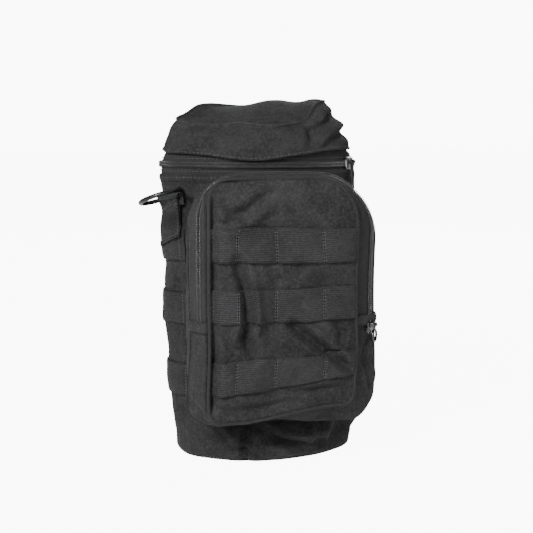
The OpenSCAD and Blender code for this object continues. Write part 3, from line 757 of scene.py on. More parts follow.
def rounded(name, parts, material, bevel=0.0004, segments=2):
    """One piece from closed outlines: each part is (points of one end, points of the other end)."""
    made = bmesh.new()
    for one, other in parts:
        count = len(one)
        first = [made.verts.new(p) for p in one]
        last = [made.verts.new(p) for p in other]
        made.faces.new(first[::-1])
        made.faces.new(last)
        for i in range(count):
            made.faces.new((first[i], first[(i + 1) % count], last[(i + 1) % count], last[i]))
    bmesh.ops.recalc_face_normals(made, faces=made.faces)
    mesh = bpy.data.meshes.new(name)
    made.to_mesh(mesh)
    made.free()
    mesh.polygons.foreach_set("use_smooth", np.ones(len(mesh.polygons), bool))
    mesh.materials.append(material)
    piece = bpy.data.objects.new(name, mesh)
    bpy.context.scene.collection.objects.link(piece)
    soft = piece.modifiers.new("rounded edges", "BEVEL")
    soft.width, soft.segments, soft.limit_method, soft.angle_limit = bevel, segments, "ANGLE", 0.6
    soft.harden_normals = True
    return piece


def block(low, high):
    (x0, y0, z0), (x1, y1, z1) = low, high
    flat = [(x0, z0), (x1, z0), (x1, z1), (x0, z1)]
    return [(x, y0, z) for x, z in flat], [(x, y1, z) for x, z in flat]


def disc(x0, x1, y, z, radius, sides=20):
    """A round rod along X."""
    ring = [(y + radius * math.cos(q), z + radius * math.sin(q))
            for q in np.linspace(0, 2 * math.pi, sides, endpoint=False)]
    return [(x0, a, b) for a, b in ring], [(x1, a, b) for a, b in ring]


def slider_parts(turned=False):
    """Front plate and the rails that close on the coil; lengthwise along X, facing -Y."""
    plan = [(-0.0050, -0.0022), (-0.0028, -0.0045), (0.0050, -0.0045), (0.0050, 0.0045), (-0.0028, 0.0045),
            (-0.0050, 0.0022)]
    rails = [block((-0.0024, -0.0002, -0.0047), (0.0047, 0.0012, -0.0036)),
             block((-0.0024, -0.0002, 0.0036), (0.0047, 0.0012, 0.0047))]
    parts = [([(x, -0.0013, z) for x, z in plan], [(x, 0.0, z) for x, z in plan])] + rails
    if turned:
        parts = [([(z, y, -x) for x, y, z in a], [(z, y, -x) for x, y, z in b]) for a, b in parts]
    return parts


def crown_parts():
    """Two ears that stand on the slider, and the pin across them."""
    parts = []
    for x in (-0.0033, 0.0021):
        ear = [(-0.0012, -0.0010), (-0.0046, 0.0002), (-0.0050, 0.0012), (-0.0046, 0.0022), (-0.0012, 0.0030)]
        parts.append(([(x, y, z) for y, z in ear], [(x + 0.0012, y, z) for y, z in ear]))
    parts.append(disc(-0.0030, 0.0030, -pin_out, pin_rise, 0.0007))
    return parts


def pull_eye(neck):
    """The pull's eye round the pin, as a ring of short blocks, and its neck."""
    parts = []
    half_block = 0.235
    for q in np.linspace(0, 2 * math.pi, 14, endpoint=False):
        a, b = q - half_block, q + half_block
        ring = [(-pin_out + r * math.cos(t), pin_rise + r * math.sin(t)) for r, t in
                ((0.0011, a), (0.0020, a), (0.0020, b), (0.0011, b))]
        parts.append(([(-0.0016, y, z) for y, z in ring], [(0.0016, y, z) for y, z in ring]))
    parts.append(block((-0.0016, -pin_out - 0.0007, pin_rise - neck),
                       (0.0016, -pin_out + 0.0007, pin_rise - 0.0014)))
    return parts


def set_on(piece, x, y, z, turn):
    piece.data.transform(Matrix.Translation((x, y, z)) @ Matrix.Rotation(math.radians(turn), 4, "Z"))


bright_plate = hardware_material("slider plating", (0.50, 0.50, 0.51), (0.20, 0.20, 0.205), 1.0, 0.2, 0.45, 0.7)
black_pull = hardware_material("pull black", (0.004, 0.004, 0.0045), (0.016, 0.016, 0.017), 0.0, 0.3, 0.55, 0.5,
                               0.25)
stand = wall(slider_turn, closing_z, 0.0006)
main_slider = rounded("main_zip_slider_body", slider_parts(), bright_plate)
set_on(main_slider, *stand, slider_turn)
belongs(main_slider, "main_slider", "slider_metal", "main_zip_slider")
main_crown = rounded("main_zip_slider_crown", crown_parts(), black_pull, 0.0003)
set_on(main_crown, *stand, slider_turn)
belongs(main_crown, "main_slider", "pull_black")
pull_end = pin_rise - 0.022
tab = [(-0.0016, pin_rise - 0.0058), (0.0016, pin_rise - 0.0058), (0.0027, pin_rise - 0.0080),
       (0.0024, pin_rise - 0.0140),
       (0.0027, pull_end + 0.0022), (0.0017, pull_end), (-0.0017, pull_end), (-0.0027, pull_end + 0.0022),
       (-0.0024, pin_rise - 0.0140), (-0.0027, pin_rise - 0.0080)]
main_pull = rounded("main_zip_pull_tab", pull_eye(0.0070) + [
    ([(x, -pin_out - 0.0007, z) for x, z in tab], [(x, -pin_out + 0.0007, z) for x, z in tab])], black_pull,
    0.0003)
set_on(main_pull, *stand, slider_turn)
belongs(main_pull, "main_pull", "pull_black", "main_zip_pull")

# ---- Front pocket: gusset ----
# The pocket's sides, one strip of cloth sewn to the body at the rear and to the zip tape in front.
# It bulges to the right, and its foot is cut as part of the same strip below the ends of the zip.
flap_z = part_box("pocket_panel_upper")[0].z - 0.00035
face_y = -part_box("pocket_panel_upper")[0].y
low_side, high_side, top_run, corner_run = 16, 30, 44, 14


def body_front(x, z):
    """The body's front at sideways place x and height z."""
    swell = (np.minimum(z, hem_z) / hem_z) ** 1.6
    k, m = foot_w + (top_w - foot_w) * swell - side_r, foot_d + (top_d - foot_d) * swell - side_r
    centre = (k * k - m * m) / (2 * m)
    big = m + side_r + centre
    edge = k + side_r * k / np.hypot(k, centre)
    near = centre - np.sqrt(np.maximum(big**2 - x * x, 0))
    side = -np.sqrt(np.maximum(side_r**2 - np.maximum(np.abs(x) - k, 0) ** 2, 0))
    return np.where(np.abs(x) <= edge, near, side)


def pocket_ring(left, right, low, high, left_r, right_r, foot_r, inset=0.0):
    """Outline of the pocket from the front: up the left, over the top, down the right, along the foot."""
    l, r, b, t = left + inset, right - inset, low + inset, high - inset
    lr, rr, fr = left_r - inset, right_r - inset, foot_r - 0.6 * inset

    def bend(cx, cz, radius, start):
        q = np.radians(start - 90 * np.arange(1, corner_run) / corner_run)
        return np.stack([cx + radius * np.cos(q), cz + radius * np.sin(q)], -1)

    def run(a, b, count):
        return np.linspace(a, b, count + 1)

    return np.concatenate([
        run((l, b + fr), (l, flap_z), low_side)[:-1], run((l, flap_z), (l, t - lr), high_side),
        bend(l + lr, t - lr, lr, 180), run((l + lr, t), (r - rr, t - 0.002), top_run),
        bend(r - rr, t - rr - 0.002, rr, 90), run((r, t - rr - 0.002), (r, flap_z), high_side)[:-1],
        run((r, flap_z), (r, b + fr), low_side), bend(r - fr, b + fr, fr, 0),
        run((r - fr, b), (l + fr, b), top_run), bend(l + fr, b + fr, fr, 270)])


upper_count = high_side + corner_run + top_run + corner_run + high_side + 1
first_upper = low_side
# the face's left, right, low and high edges, and three corner radii
face_outline = (-0.0545, 0.0508, 0.0434, 0.2146, 0.014, 0.028, 0.010)
rows = {  # share of the way from body to flat plane, plane's distance, outline, extra out of the body
    "seam": (0.0, 0.064, pocket_ring(-0.0585, 0.0630, 0.0400, 0.1900, 0.032, 0.036, 0.015), -0.0012),
    "rise": (0.14, 0.064, pocket_ring(-0.0608, 0.0675, 0.0378, 0.1990, 0.035, 0.042, 0.017), 0.0040),
    "round": (0.62, 0.064, pocket_ring(-0.0640, 0.0708, 0.0366, 0.2130, 0.038, 0.048, 0.019), 0.0),
    "edge": (1.0, 0.064, pocket_ring(-0.0655, 0.0718, 0.0370, 0.2176, 0.038, 0.050, 0.019), 0.0),
    "rear tape": (1.0, 0.0715, pocket_ring(-0.0632, 0.0686, 0.0382, 0.2174, 0.034, 0.045, 0.017), 0.0),
    "zip": (1.0, 0.0750, pocket_ring(-0.0603, 0.0652, 0.0394, 0.2170, 0.030, 0.040, 0.016), 0.0),
    "front tape": (1.0, 0.0780, pocket_ring(-0.0583, 0.0604, 0.0404, 0.2164, 0.024, 0.034, 0.014), 0.0),
    "face": (1.0, face_y - 0.0015, pocket_ring(*face_outline), 0.0),
    "tuck": (1.0, face_y - 0.0020, pocket_ring(*face_outline, 0.0014), 0.0),
}


def pocket_row(name):
    share_out, plane, ring, extra = rows[name]
    start = body_front(ring[:, 0], ring[:, 1]) - extra
    return np.stack([ring[:, 0], start + (-plane - start) * share_out, ring[:, 1]], -1)


def strip_of_rows(names, count):
    """Smooth cloth through named rows, as a grid from the rear to the front."""
    known = np.stack([pocket_row(n) for n in names])
    at = np.linspace(0, len(names) - 1, count)
    made = []
    for s in at:
        i = min(int(s), len(names) - 2)
        t = s - i
        p = [known[max(0, min(len(names) - 1, i + k))] for k in (-1, 0, 1, 2)]
        made.append(0.5 * (2 * p[1] + (p[2] - p[0]) * t + (2 * p[0] - 5 * p[1] + 4 * p[2] - p[3]) * t**2
                           + (3 * p[1] - p[0] - 3 * p[2] + p[3]) * t**3))
    return np.stack(made)


def pocket_out(points):
    """Way out of the pocket's side at each point, seen from the front."""
    away = points[..., [0, 2]] - np.array([0.002, 0.125])
    away *= np.array([1.0, 0.62])
    away /= np.linalg.norm(away, axis=-1)[..., None]
    return np.stack([away[..., 0], 0 * away[..., 0], away[..., 1]], -1)


def hang(points, amount=1.0):
    """The pocket's slack, shared by everything sewn to it: soft billows that die out at the body."""
    held = smooth((-points[..., 1] - 0.050) / 0.012)[..., None] * amount
    sway = np.stack([crumple(points, 0.050, 0.0021, k) for k in (4.2, 8.8, 12.6)], -1)
    sway[..., 1] *= 0.7
    lower_part = smooth((flap_z - points[..., 2:]) / 0.02)
    hitched = 0.0062 * smooth((points[..., 0] + 0.020) / 0.065) * smooth((0.100 - points[..., 2]) / 0.05)
    hitched *= smooth((-points[..., 1] - 0.070) / 0.014)
    sway[..., 2] += hitched
    x, z = points[..., 0], points[..., 2]
    channel = 0.0054 * hill(x, -0.0518, 0.0027) - 0.0026 * hill(x, -0.0582, 0.0028)
    sway[..., 1] += channel * smooth((z - 0.047) / 0.012) * smooth((0.206 - z) / 0.012)
    return points + sway * held * (1 + 0.5 * lower_part)


def ring_uv(points):
    """Weave coordinates along and across a strip."""
    along = np.linalg.norm(np.diff(points, axis=1, append=points[:, :1]), axis=2)
    along = np.concatenate([np.zeros(1), np.cumsum(along.mean(0))])
    return weave_grid(along, steps_up(points))


rear = strip_of_rows(["seam", "rise", "round", "edge"], 34)
depth_share = np.linspace(0, 1, 34)[:, None]
wrinkles = billows(rear, (0.020, 0.0022, 6.1), (0.009, 0.0006, 2.9))
for path, width, depth in (
        ([(0.0760, 0.105), (0.0640, 0.094), (0.0600, 0.084)], 0.0030, 0.0050),
        ([(0.0760, 0.066), (0.0660, 0.074), (0.0600, 0.080)], 0.0030, 0.0040),
        ([(0.0700, 0.050), (0.0640, 0.058), (0.0560, 0.060)], 0.0026, 0.0040)):
    wrinkles += crease(rear[..., 0], rear[..., 2], path, width, depth)
rear = rear + pocket_out(rear) * (wrinkles * np.sin(math.pi * depth_share) ** 0.8)[..., None]
rear = hang(rear)
gusset = cloth_piece("pocket_gusset_rear", rear[::-1], ring_uv(rear)[::-1], closed=True, thick=0.0012)
belongs(gusset, "pouch", "pouch_cloth", "pocket_rear_gusset", material=cloth)
seam_bead = tube("pocket_gusset_edge_cord", hang(pocket_row("edge")), 0.0008, 8, cloth, closed=True)
belongs(seam_bead, "pouch", "pouch_cloth")

station_total = len(pocket_row("edge"))
after_upper = first_upper + upper_count
upper_stations = list(range(first_upper, after_upper))
lower_stations = [i % station_total for i in range(after_upper - 1, station_total + first_upper + 1)]
foot = strip_of_rows(["edge", "rear tape", "zip", "front tape", "tuck"], 26)[:, lower_stations]
foot_folds = billows(foot, (0.018, 0.0026, 3.3), (0.008, 0.0007, 8.1))
for path, width, depth in (
        ([(0.0720, 0.104), (0.0600, 0.090), (0.0560, 0.078)], 0.0028, 0.0042),
        ([(0.0600, 0.088), (0.0640, 0.068), (0.0660, 0.056)], 0.0026, 0.0044),
        ([(0.0560, 0.070), (0.0580, 0.060), (0.0640, 0.050)], 0.0024, 0.0036),
        ([(-0.0640, 0.060), (-0.0580, 0.050), (-0.0480, 0.044)], 0.0028, 0.0026)):
    foot_folds += crease(foot[..., 0], foot[..., 2], path, width, depth)
held = np.sin(math.pi * np.linspace(0.02, 0.98, 26))[:, None] ** 0.7
foot = hang(foot + pocket_out(foot) * (foot_folds * held)[..., None])
lower_gusset = cloth_piece("pocket_gusset_foot", foot[::-1], ring_uv(foot)[::-1][:, :-1], thick=0.0012)
belongs(lower_gusset, "pouch", "pouch_cloth", "pocket_lower_gusset", material=cloth)

# ---- Front pocket: zip ----
# Two herringbone tapes with coil between them, from the left side over the top and down the right.
# A strip of cloth is sewn across each end of the zip.
rear_band = hang(strip_of_rows(["edge", "rear tape", "zip"], 10)[:-1, upper_stations])
front_band = hang(strip_of_rows(["zip", "front tape", "tuck"], 12)[2:, upper_stations])
for name, band_points, body_name, node in (
        ("pocket_zip_tape_rear", rear_band, "pouch", "pocket_rear_tape"),
        ("pocket_zip_tape_front", front_band, "pocket_flap", "pocket_front_tape")):
    strip = cloth_piece(name, band_points[::-1], ring_uv(band_points)[::-1][:, :-1], thick=0.0009)
    belongs(strip, body_name, "zip_tape", node, material=zip_tape)
    edge_line = band_points[2] if body_name == "pouch" else band_points[-3]
    line = edge_line + pocket_out(edge_line) * 0.0004 + np.array([0, -0.0003, 0])
    stitches(name + "_stitches", [line], body_name)
zip_line = strip_of_rows(["zip", "zip"], 2)[0][upper_stations]
zip_out = pocket_out(zip_line)
slant = np.array([0.0, -0.6, 0.0]) + zip_out * 0.8
slant /= np.linalg.norm(slant, axis=1)[:, None]
over = np.cross(np.gradient(zip_line, axis=0), slant)
over /= np.linalg.norm(over, axis=1)[:, None]
for name, off, body_name, node in (
        ("pocket_zip_coil_rear", 0.0011, "pouch", "pocket_rear_coil"),
        ("pocket_zip_coil_front", -0.0011, "pocket_flap", "pocket_front_coil")):
    way = over * np.sign(over[:, 1] + 1e-9)[:, None]
    coil = wound_coil(name, hang(zip_line + way * off + slant * 0.0004), slant, way)
    belongs(coil, body_name, "zip_coil", node)
for name, station in (("left", first_upper - 1), ("right", after_upper)):
    across = strip_of_rows(["edge", "rear tape", "zip", "front tape", "tuck"], 22)[:, station]
    patch_rows = np.linspace(-0.0042, 0.0030, 7)
    to_row = patch_rows[:, None, None] + flap_z - across[None, :, 2:]
    grown = hang(across[None] + upward * to_row)
    lift = 0.0012 * np.sin(math.pi * np.linspace(0.04, 0.96, 7))[:, None, None] + 0.0006
    grown = grown + (pocket_out(grown) * 0.8 + np.array([0, -0.6, 0])) * lift
    side = 1 if name == "left" else -1
    end_patch = cloth_piece(f"pocket_zip_end_{name}", grown[::-side],
                            weave_grid(np.linspace(0, 0.025, 22), patch_rows), thick=0.0009)
    belongs(end_patch, "pouch", "pouch_cloth", material=cloth)

# ---- Front pocket: face ----
# One cloth panel, slack enough to fold. Its lower third is sewn down as part of the pocket;
# above that it is the flap that the zip frees.
face_ring = pocket_row("face")
face_rows, face_cols = 190, 130


def face_rise(x, z):
    """How far the face stands out of its plane: a slack pillow with pressed folds."""
    s, t = np.clip((x + 0.0018) / 0.0530, -1, 1), np.clip((z - 0.1290) / 0.0857, -1, 1)
    full = (1 - np.abs(s) ** 3.5) * (1 - np.abs(t) ** 4)
    flat = np.stack([x, 0 * x, z], -1)
    slack = billows(flat, (0.030, 0.0030, 2.4), (0.016, 0.0022, 6.6), (0.008, 0.0006, 1.2))
    rise = 0.0022 * full + slack * full ** 0.5
    for path, width, depth in (
            ([(-0.036, 0.158), (-0.0300, 0.138), (-0.0285, 0.112), (-0.0300, 0.104), (-0.0235, 0.088)], 0.0036,
             0.0062),
            ([(0.004, 0.1125), (0.018, 0.101), (0.030, 0.0895), (0.040, 0.080), (0.0515, 0.0680)], 0.0034,
             0.0072),
            ([(0.030, 0.0900), (0.036, 0.0905), (0.042, 0.0850)], 0.0020, 0.0026),
            ([(-0.047, 0.202), (-0.040, 0.192), (-0.030, 0.188)], 0.0038, 0.0030),
            ([(-0.040, 0.186), (-0.026, 0.194), (-0.008, 0.206)], 0.0042, 0.0034),
            ([(-0.052, 0.186), (-0.040, 0.183)], 0.0030, 0.0034),
            ([(-0.006, 0.206), (0.004, 0.200), (0.010, 0.188)], 0.0050, 0.0018),
            ([(-0.046, 0.107), (-0.040, 0.098), (-0.032, 0.092)], 0.0030, 0.0022),
            ([(0.012, 0.154), (0.024, 0.146), (0.036, 0.138)], 0.0050, 0.0022),
            ([(-0.014, 0.152), (-0.008, 0.144), (-0.010, 0.138)], 0.0036, 0.0020),
            ([(0.036, 0.113), (0.040, 0.104), (0.038, 0.094)], 0.0032, 0.0024),
            ([(-0.016, 0.112), (-0.006, 0.096), (0.004, 0.090)], 0.0046, 0.0018),
            ([(0.002, 0.0590), (0.018, 0.0575), (0.044, 0.0560)], 0.0030, 0.0030),
            ([(-0.050, 0.053), (-0.020, 0.0505), (0.010, 0.052)], 0.0030, 0.0030)):
        rise += crease(x, z, path, width, depth) * np.clip(full * 2.2, 0, 1)
    return rise


def face_point(x, z, out=0.0):
    x, z = np.broadcast_arrays(np.asarray(x, float), np.asarray(z, float))
    loose = hang(np.stack([x, 0 * x - face_y + 0.0008, z], -1))
    loose[..., 1] -= face_rise(x, z) + out
    return loose


def face_sides(z):
    """Where the face's left and right edges are at height z."""
    inner = pocket_ring(*face_outline, 0.0006)
    left_part = np.array(sorted([(p[1], p[0]) for p in inner if p[0] < -0.001]))
    right_part = np.array(sorted([(p[1], p[0]) for p in inner if p[0] > -0.001]))
    return np.interp(z, left_part[:, 0], left_part[:, 1]), np.interp(z, right_part[:, 0], right_part[:, 1])


face_z = np.concatenate([np.linspace(0.0441, 0.2115, face_rows), np.linspace(0.2115, 0.2138, 5)[1:]])
left_x, right_x = face_sides(face_z)
s = np.linspace(0, 1, face_cols)
X = left_x[:, None] * (1 - s) + right_x[:, None] * s
Z = np.broadcast_to(face_z[:, None], X.shape)
face = face_point(X, Z)
panel = cloth_piece("pocket_face", face, np.stack([X, Z], -1), thick=0.0012)
panel.data.materials.append(cloth)
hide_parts("pocket_panel_upper", "pocket_panel_lower")
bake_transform(panel)

# ---- Front pocket: piping ----
# A corded edge in folded cloth all round the face, where it is sewn to the zip tape and the gusset.
binding = tape_material("edge binding", plain_weave, (0.0020, 0.0020, 0.0021), (0.014, 0.014, 0.0145), 0.0006,
                        0.00012, 0.85)
edge_line = hang(pocket_row("face") + np.array([0, -0.0004, 0]))
edge_line = edge_line + pocket_out(edge_line) * 0.0004


def corded_edge(name, line, radius, material, sides=10, closed=True):
    """A cord covered in cloth, with weave coordinates round and along it."""
    piece = tube(name, line, radius, sides, material, closed)
    run = distances(line)
    lay = piece.data.uv_layers.new(name="weave")
    for polygon in piece.data.polygons:
        for loop in polygon.loop_indices:
            vertex = piece.data.loops[loop].vertex_index
            lay.data[loop].uv = (run[vertex // sides], (vertex % sides) * 2 * math.pi * radius / sides)
    return piece


piping = corded_edge("pocket_piping", edge_line, 0.00125, binding)
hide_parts("pocket_piping_upper", "pocket_piping_lower")
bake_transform(piping)

# ---- Webbing rows on the pocket ----
# Three rows of ribbed woven tape sewn across the face, held down by bars of stitching
# that leave four open channels in each row for the straps of other pouches.
webbing = tape_material("webbing", ribbed, (0.0018, 0.0018, 0.0019), (0.0205, 0.0205, 0.0212), 0.0015, 0.0004,
                        0.82)
bar_thread = {"pitch": 0.0022, "length": 0.0017, "radius": 0.00034}
bars_x = (-0.0365, -0.0083, 0.0268)
row_edges = (-0.0541, *bars_x, 0.0503)


def channel_swell(x):
    swell = np.zeros(np.shape(x))
    for a, b in zip(row_edges, row_edges[1:]):
        inside = np.clip((x - a) / (b - a), 0, 1)
        swell += np.where((x >= a) & (x <= b), np.sin(math.pi * inside) ** 0.55, 0)
    return swell


def tape_on_face(x, z, out=0.0):
    return face_point(x, z, 0.0012 + 0.0019 * channel_swell(x) + out)


for name, body_name, low_left, low_right in (
        ("front_webbing_top", "pocket_flap", 0.0010, -0.0012),
        ("front_webbing_middle", "pocket_flap", 0.0006, -0.0002),
        ("front_webbing_bottom", "pouch", -0.0012, 0.0028)):
    row_low, row_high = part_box(name)
    xs = np.linspace(row_edges[0], row_edges[-1], 190)
    up_share = np.linspace(0, 1, 15)
    tilt = low_left + (low_right - low_left) * (xs - xs[0]) / (xs[-1] - xs[0])
    Zs = row_low.z + (row_high.z - row_low.z) * up_share[:, None] + tilt[None]
    Xs = np.broadcast_to(xs, Zs.shape)
    rounding = -0.0005 * (np.abs(up_share - 0.5) * 2)[:, None] ** 8
    row = cloth_piece(name + "_tape", tape_on_face(Xs, Zs, rounding), np.stack([Xs, Zs], -1), thick=0.0013)
    belongs(row, body_name, "webbing", name, material=webbing)
    bars = []
    for bar in bars_x:
        lean = low_left + (low_right - low_left) * (bar - xs[0]) / (xs[-1] - xs[0])
        heights_up = np.linspace(row_low.z + 0.0008, row_high.z - 0.0008, 40) + lean
        for off in (-0.0007, 0.0007):
            bars.append(tape_on_face(np.full(40, bar + off), heights_up, 0.0003))
    stitches(name + "_stitches", bars, body_name, **bar_thread)

# ---- Pocket zip slider and pull ----
# A dark slider parked at the foot of the zip on the right, with a round loop pull that swings on its pin.
gunmetal = hardware_material("gunmetal", (0.035, 0.035, 0.037), (0.10, 0.10, 0.104), 1.0, 0.16, 0.38, 0.6)
pocket_turn = 51
stand = Vector((0.0632, -0.0750, flap_z - 0.0054)) + Vector(outward(pocket_turn).tolist()) * 0.0017
pocket_slider = rounded("pocket_zip_slider_body", slider_parts(turned=True), gunmetal)
set_on(pocket_slider, *stand, pocket_turn)
belongs(pocket_slider, "pocket_slider", "slider_metal", "pocket_zip_slider")
pocket_crown = rounded("pocket_zip_slider_crown", crown_parts(), gunmetal, 0.0003)
set_on(pocket_crown, *stand, pocket_turn)
belongs(pocket_crown, "pocket_slider", "pull_gunmetal")
eye = rounded("pocket_zip_pull_eye", pull_eye(0.0046), gunmetal, 0.0003)
set_on(eye, *stand, pocket_turn)
belongs(eye, "pocket_pull", "pull_gunmetal", "pocket_zip_pull")
q = np.linspace(0, 2 * math.pi, 56, endpoint=False)
loop_line = np.stack([0.0040 * np.sin(q), 0 * q - pin_out, pin_rise - 0.0080 + 0.0042 * np.cos(q)], -1)
loop = tube("pocket_zip_pull_loop", loop_line, 0.00095, 12, gunmetal, closed=True)
set_on(loop, *stand, pocket_turn)
belongs(loop, "pocket_pull", "pull_gunmetal")

# ---- Webbing rows on the sides and back ----
# Short rows on both sides and longer ones at the back, sewn flat to the body with bars of stitching.
for place_name, start, stop, count, bar_shares in (
        ("left", -130, -41, 60, (0.03, 0.5, 0.97)),
        ("right", 46, 130, 60, (0.03, 0.5, 0.97)),
        ("back", 137, 223, 90, (0.03, 0.34, 0.66, 0.97))):
    row_turns, row_run = even_turns(start, stop, count)
    bars_at = [start + (stop - start) * k for k in bar_shares]
    gap = np.min([np.abs(row_turns - bar) for bar in bars_at], axis=0) / 8
    for level in ("top", "middle", "bottom"):
        name = f"{place_name}_webbing_{level}"
        row_low, row_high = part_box(name)
        up_share = np.linspace(0, 1, 13)
        swell = 0.0004 * smooth(gap)[None] - 0.0004 * (np.abs(up_share - 0.5) * 2)[:, None] ** 8
        Zs = row_low.z + (row_high.z - row_low.z) * up_share[:, None]
        row = cloth_piece(name + "_tape", body_cloth_at(row_turns[None], Zs, 0.0012 + swell),
                          weave_grid(row_run, Zs[:, 0]), thick=0.0013)
        belongs(row, "pouch", "webbing", name, material=webbing)
        heights_up = np.linspace(row_low.z + 0.001, row_high.z - 0.001, 30)
        stitches(name + "_stitches", [body_cloth_at(bar, heights_up, 0.0013) for bar in bars_at], "pouch",
                 **bar_thread)

# ---- Ring and its tab ----
# A piece of doubled webbing sewn high on the left side, folded over at its head round a black wire ring.
# It slopes up towards the front with the ring, its foot is turned under, and stitching runs inside its edge.
ring_z = 0.1995
ring_turn, ring_out, ring_tilt = -44, 0.0049, math.radians(20)
enamel = hardware_material("ring enamel", (0.004, 0.004, 0.0045), (0.014, 0.014, 0.0148), 0.0, 0.3, 0.48, 0.35,
                           0.2)
ring_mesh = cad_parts["carry_ring"].data
ring_mesh.polygons.foreach_set("use_smooth", np.ones(len(ring_mesh.polygons), bool))
show_node("carry_ring", enamel)
tab_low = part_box("ring_tab")[0]
tab_rear, tab_front, tab_cols = -80, -42, 30
tab_turns, tab_run = even_turns(tab_rear, tab_front, tab_cols)
across = np.linspace(0, 1, tab_cols)
climb = np.linspace(0, 1, 34)
foot_line = tab_low.z - 0.0024 + 0.0095 * across
head_line = ring_z - 0.0096 + 0.0082 * across
Zs = foot_line[None] * (1 - climb[:, None]) + head_line[None] * climb[:, None]
bow = 0.0008 * np.sin(math.pi * across)[None] + 0.0012 * smooth((climb - 0.55) / 0.45)[:, None]
hem_thick = 0.0007 * smooth((0.16 - climb) / 0.03)[:, None]
tab_at = tab_turns[None] + 13 * smooth((climb[:, None] - 0.45) / 0.5) * (1 - across)
skin = wall(tab_at, Zs, 0.0) + outward(tab_at) * (0.0041 + bow + hem_thick)[..., None]
hinge_at = np.array(wall(ring_turn, ring_z, ring_out))
out_way = np.array(outward(ring_turn))
turn_way = np.array([math.cos(math.radians(ring_turn)), math.sin(math.radians(ring_turn)), 0.0])
along = math.cos(ring_tilt) * turn_way + np.array([0, 0, math.sin(ring_tilt)])
up_way = np.cross(along, out_way)
up_way *= np.sign(up_way[2])
fold_width, wire_r = 0.0175, 0.0154
place_across = fold_width * (across - 0.56)
follow = 0.6 * (wire_r - np.sqrt(wire_r**2 - place_across**2))
flare = (place_across / (0.56 * fold_width)) ** 2
fold_out, fold_up = 0.0036 * (1 + 0.15 * flare), 0.0034 * (1 + 0.35 * flare)
fold = np.array([
    hinge_at + along * place_across[:, None] + out_way * (math.cos(q) * fold_out + follow)[:, None]
    + up_way * (math.sin(q) * fold_up + 0.56 * follow)[:, None]
    for q in np.linspace(-0.12 * math.pi, 1.2 * math.pi, 22)])
joined = [skin[-1] * (1 - k) + fold[0] * k for k in (0.3, 0.55, 0.8)]
tail_end = wall(ring_turn + 0 * across, ring_z - 0.0085, 0.0014) + along * place_across[:, None]
closing = [fold[-1] * (1 - k) + tail_end * k for k in (0.35, 0.7, 1.0)]
strap = np.concatenate([skin, np.array(joined), fold, np.array(closing)])
ring_tab = cloth_piece("ring_tab_webbing", strap, weave_grid(tab_run, steps_up(strap)), thick=0.0012)
belongs(ring_tab, "pouch", "webbing", "ring_tab", "ring_tab_fold", material=webbing)
under = cloth_piece("ring_tab_lining", wall(tab_at[:-4], Zs[:-4], 0.0024), weave_grid(tab_run, Zs[:-4, 0]),
                    thick=0.0012)
belongs(under, "pouch", "webbing", material=webbing)
lift = outward(tab_at) * 0.0003
inset_line = [(skin + lift)[2:31, 2], (skin + lift)[2:31, -3], (skin + lift)[3, 2:-2], (skin + lift)[30, 2:-2]]
stitches("ring_tab_stitches", inset_line, "pouch", pitch=0.0024, length=0.0017, radius=0.0003)

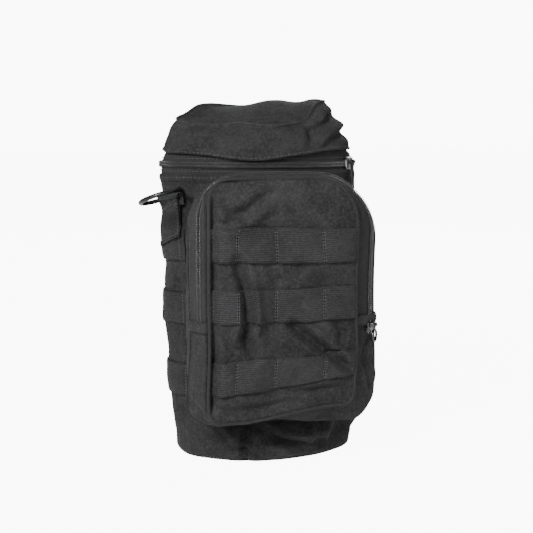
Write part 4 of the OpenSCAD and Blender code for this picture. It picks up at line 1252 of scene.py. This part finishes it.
# ---- Back straps ----
# Two webbing straps sewn down under the top hem, which hang over the rows at the back.
# Each is closed by a black snap near its foot.
snap_black = hardware_material("snap black", (0.008, 0.008, 0.0085), (0.05, 0.05, 0.051), 0.6, 0.26, 0.55, 0.5)
strap_out = 0.0045
for side, middle_turn in (("left", 194), ("right", 166)):
    strap_low, strap_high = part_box(f"back_strap_{side}")
    anchor_low, anchor_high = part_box(f"strap_anchor_{side}")
    strap_turns, strap_run = even_turns(middle_turn - 8, middle_turn + 8, 14)
    across = np.linspace(-1, 1, 14)
    edge_round = -0.0004 * np.abs(across)[None] ** 8
    for node, low, high, out_at, body_name, strap_rows, thick in (
            (f"back_strap_{side}", strap_low.z, strap_high.z, 0.0043, f"strap_{side}", 60, 0.0015),
            (f"strap_anchor_{side}", anchor_low.z, anchor_high.z, 0.0041, "pouch", 10, 0.0034)):
        Zs = np.linspace(low, high, strap_rows)
        wave = 0.0004 * np.sin(Zs * 90)[:, None] * (Zs[:, None] < 0.19)
        points = wall(strap_turns[None], Zs[:, None])
        points = points + outward(strap_turns)[None] * (out_at + edge_round + wave)[..., None]
        strip = cloth_piece(node + "_tape", points, weave_grid(strap_run, Zs), thick=thick)
        belongs(strip, body_name, "webbing", node, material=webbing)
    box_turns = np.linspace(middle_turn - 7, middle_turn + 7, 20)
    box_low, box_high = anchor_low.z + 0.0015, anchor_high.z - 0.0015
    lines = [wall(box_turns, z, strap_out) for z in (box_low, box_high)]
    lines += [wall(t, np.linspace(box_low, box_high, 20), strap_out) for t in (middle_turn - 7, middle_turn + 7)]
    stitches(f"strap_anchor_{side}_stitches", lines, "pouch", pitch=0.0022, length=0.0017, radius=0.0003)
    cap_low, cap_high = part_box(f"snap_cap_{side}")
    snap_z = (cap_low.z + cap_high.z) / 2
    profile = [(0.0, 0.0023), (0.0028, 0.0023), (0.0036, 0.0020), (0.0052, 0.0021), (0.0066, 0.0018),
               (0.0074, 0.0010), (0.0075, 0.0003), (0.0070, 0.0)]
    at = Vector(wall(middle_turn, snap_z, strap_out).tolist())
    side_way = Vector((math.cos(math.radians(middle_turn)), math.sin(math.radians(middle_turn)), 0))
    out_way = Vector(outward(middle_turn).tolist())
    q = np.linspace(0, 2 * math.pi, 40, endpoint=False)
    dome = np.array([[tuple(at + side_way * (r * math.cos(a)) + Vector((0, 0, r * math.sin(a))) + out_way * h)
                      for a in q] for r, h in profile])
    dome_uv = weave_grid(np.linspace(0, 0.05, 41), np.linspace(0, 0.01, len(profile)))
    cap = cloth_piece(f"snap_cap_{side}_dome", dome[::-1], dome_uv, closed=True, thick=0)
    belongs(cap, f"strap_{side}", "black_metal", f"snap_cap_{side}", material=snap_black)
    show_node(f"snap_stud_{side}", snap_black)
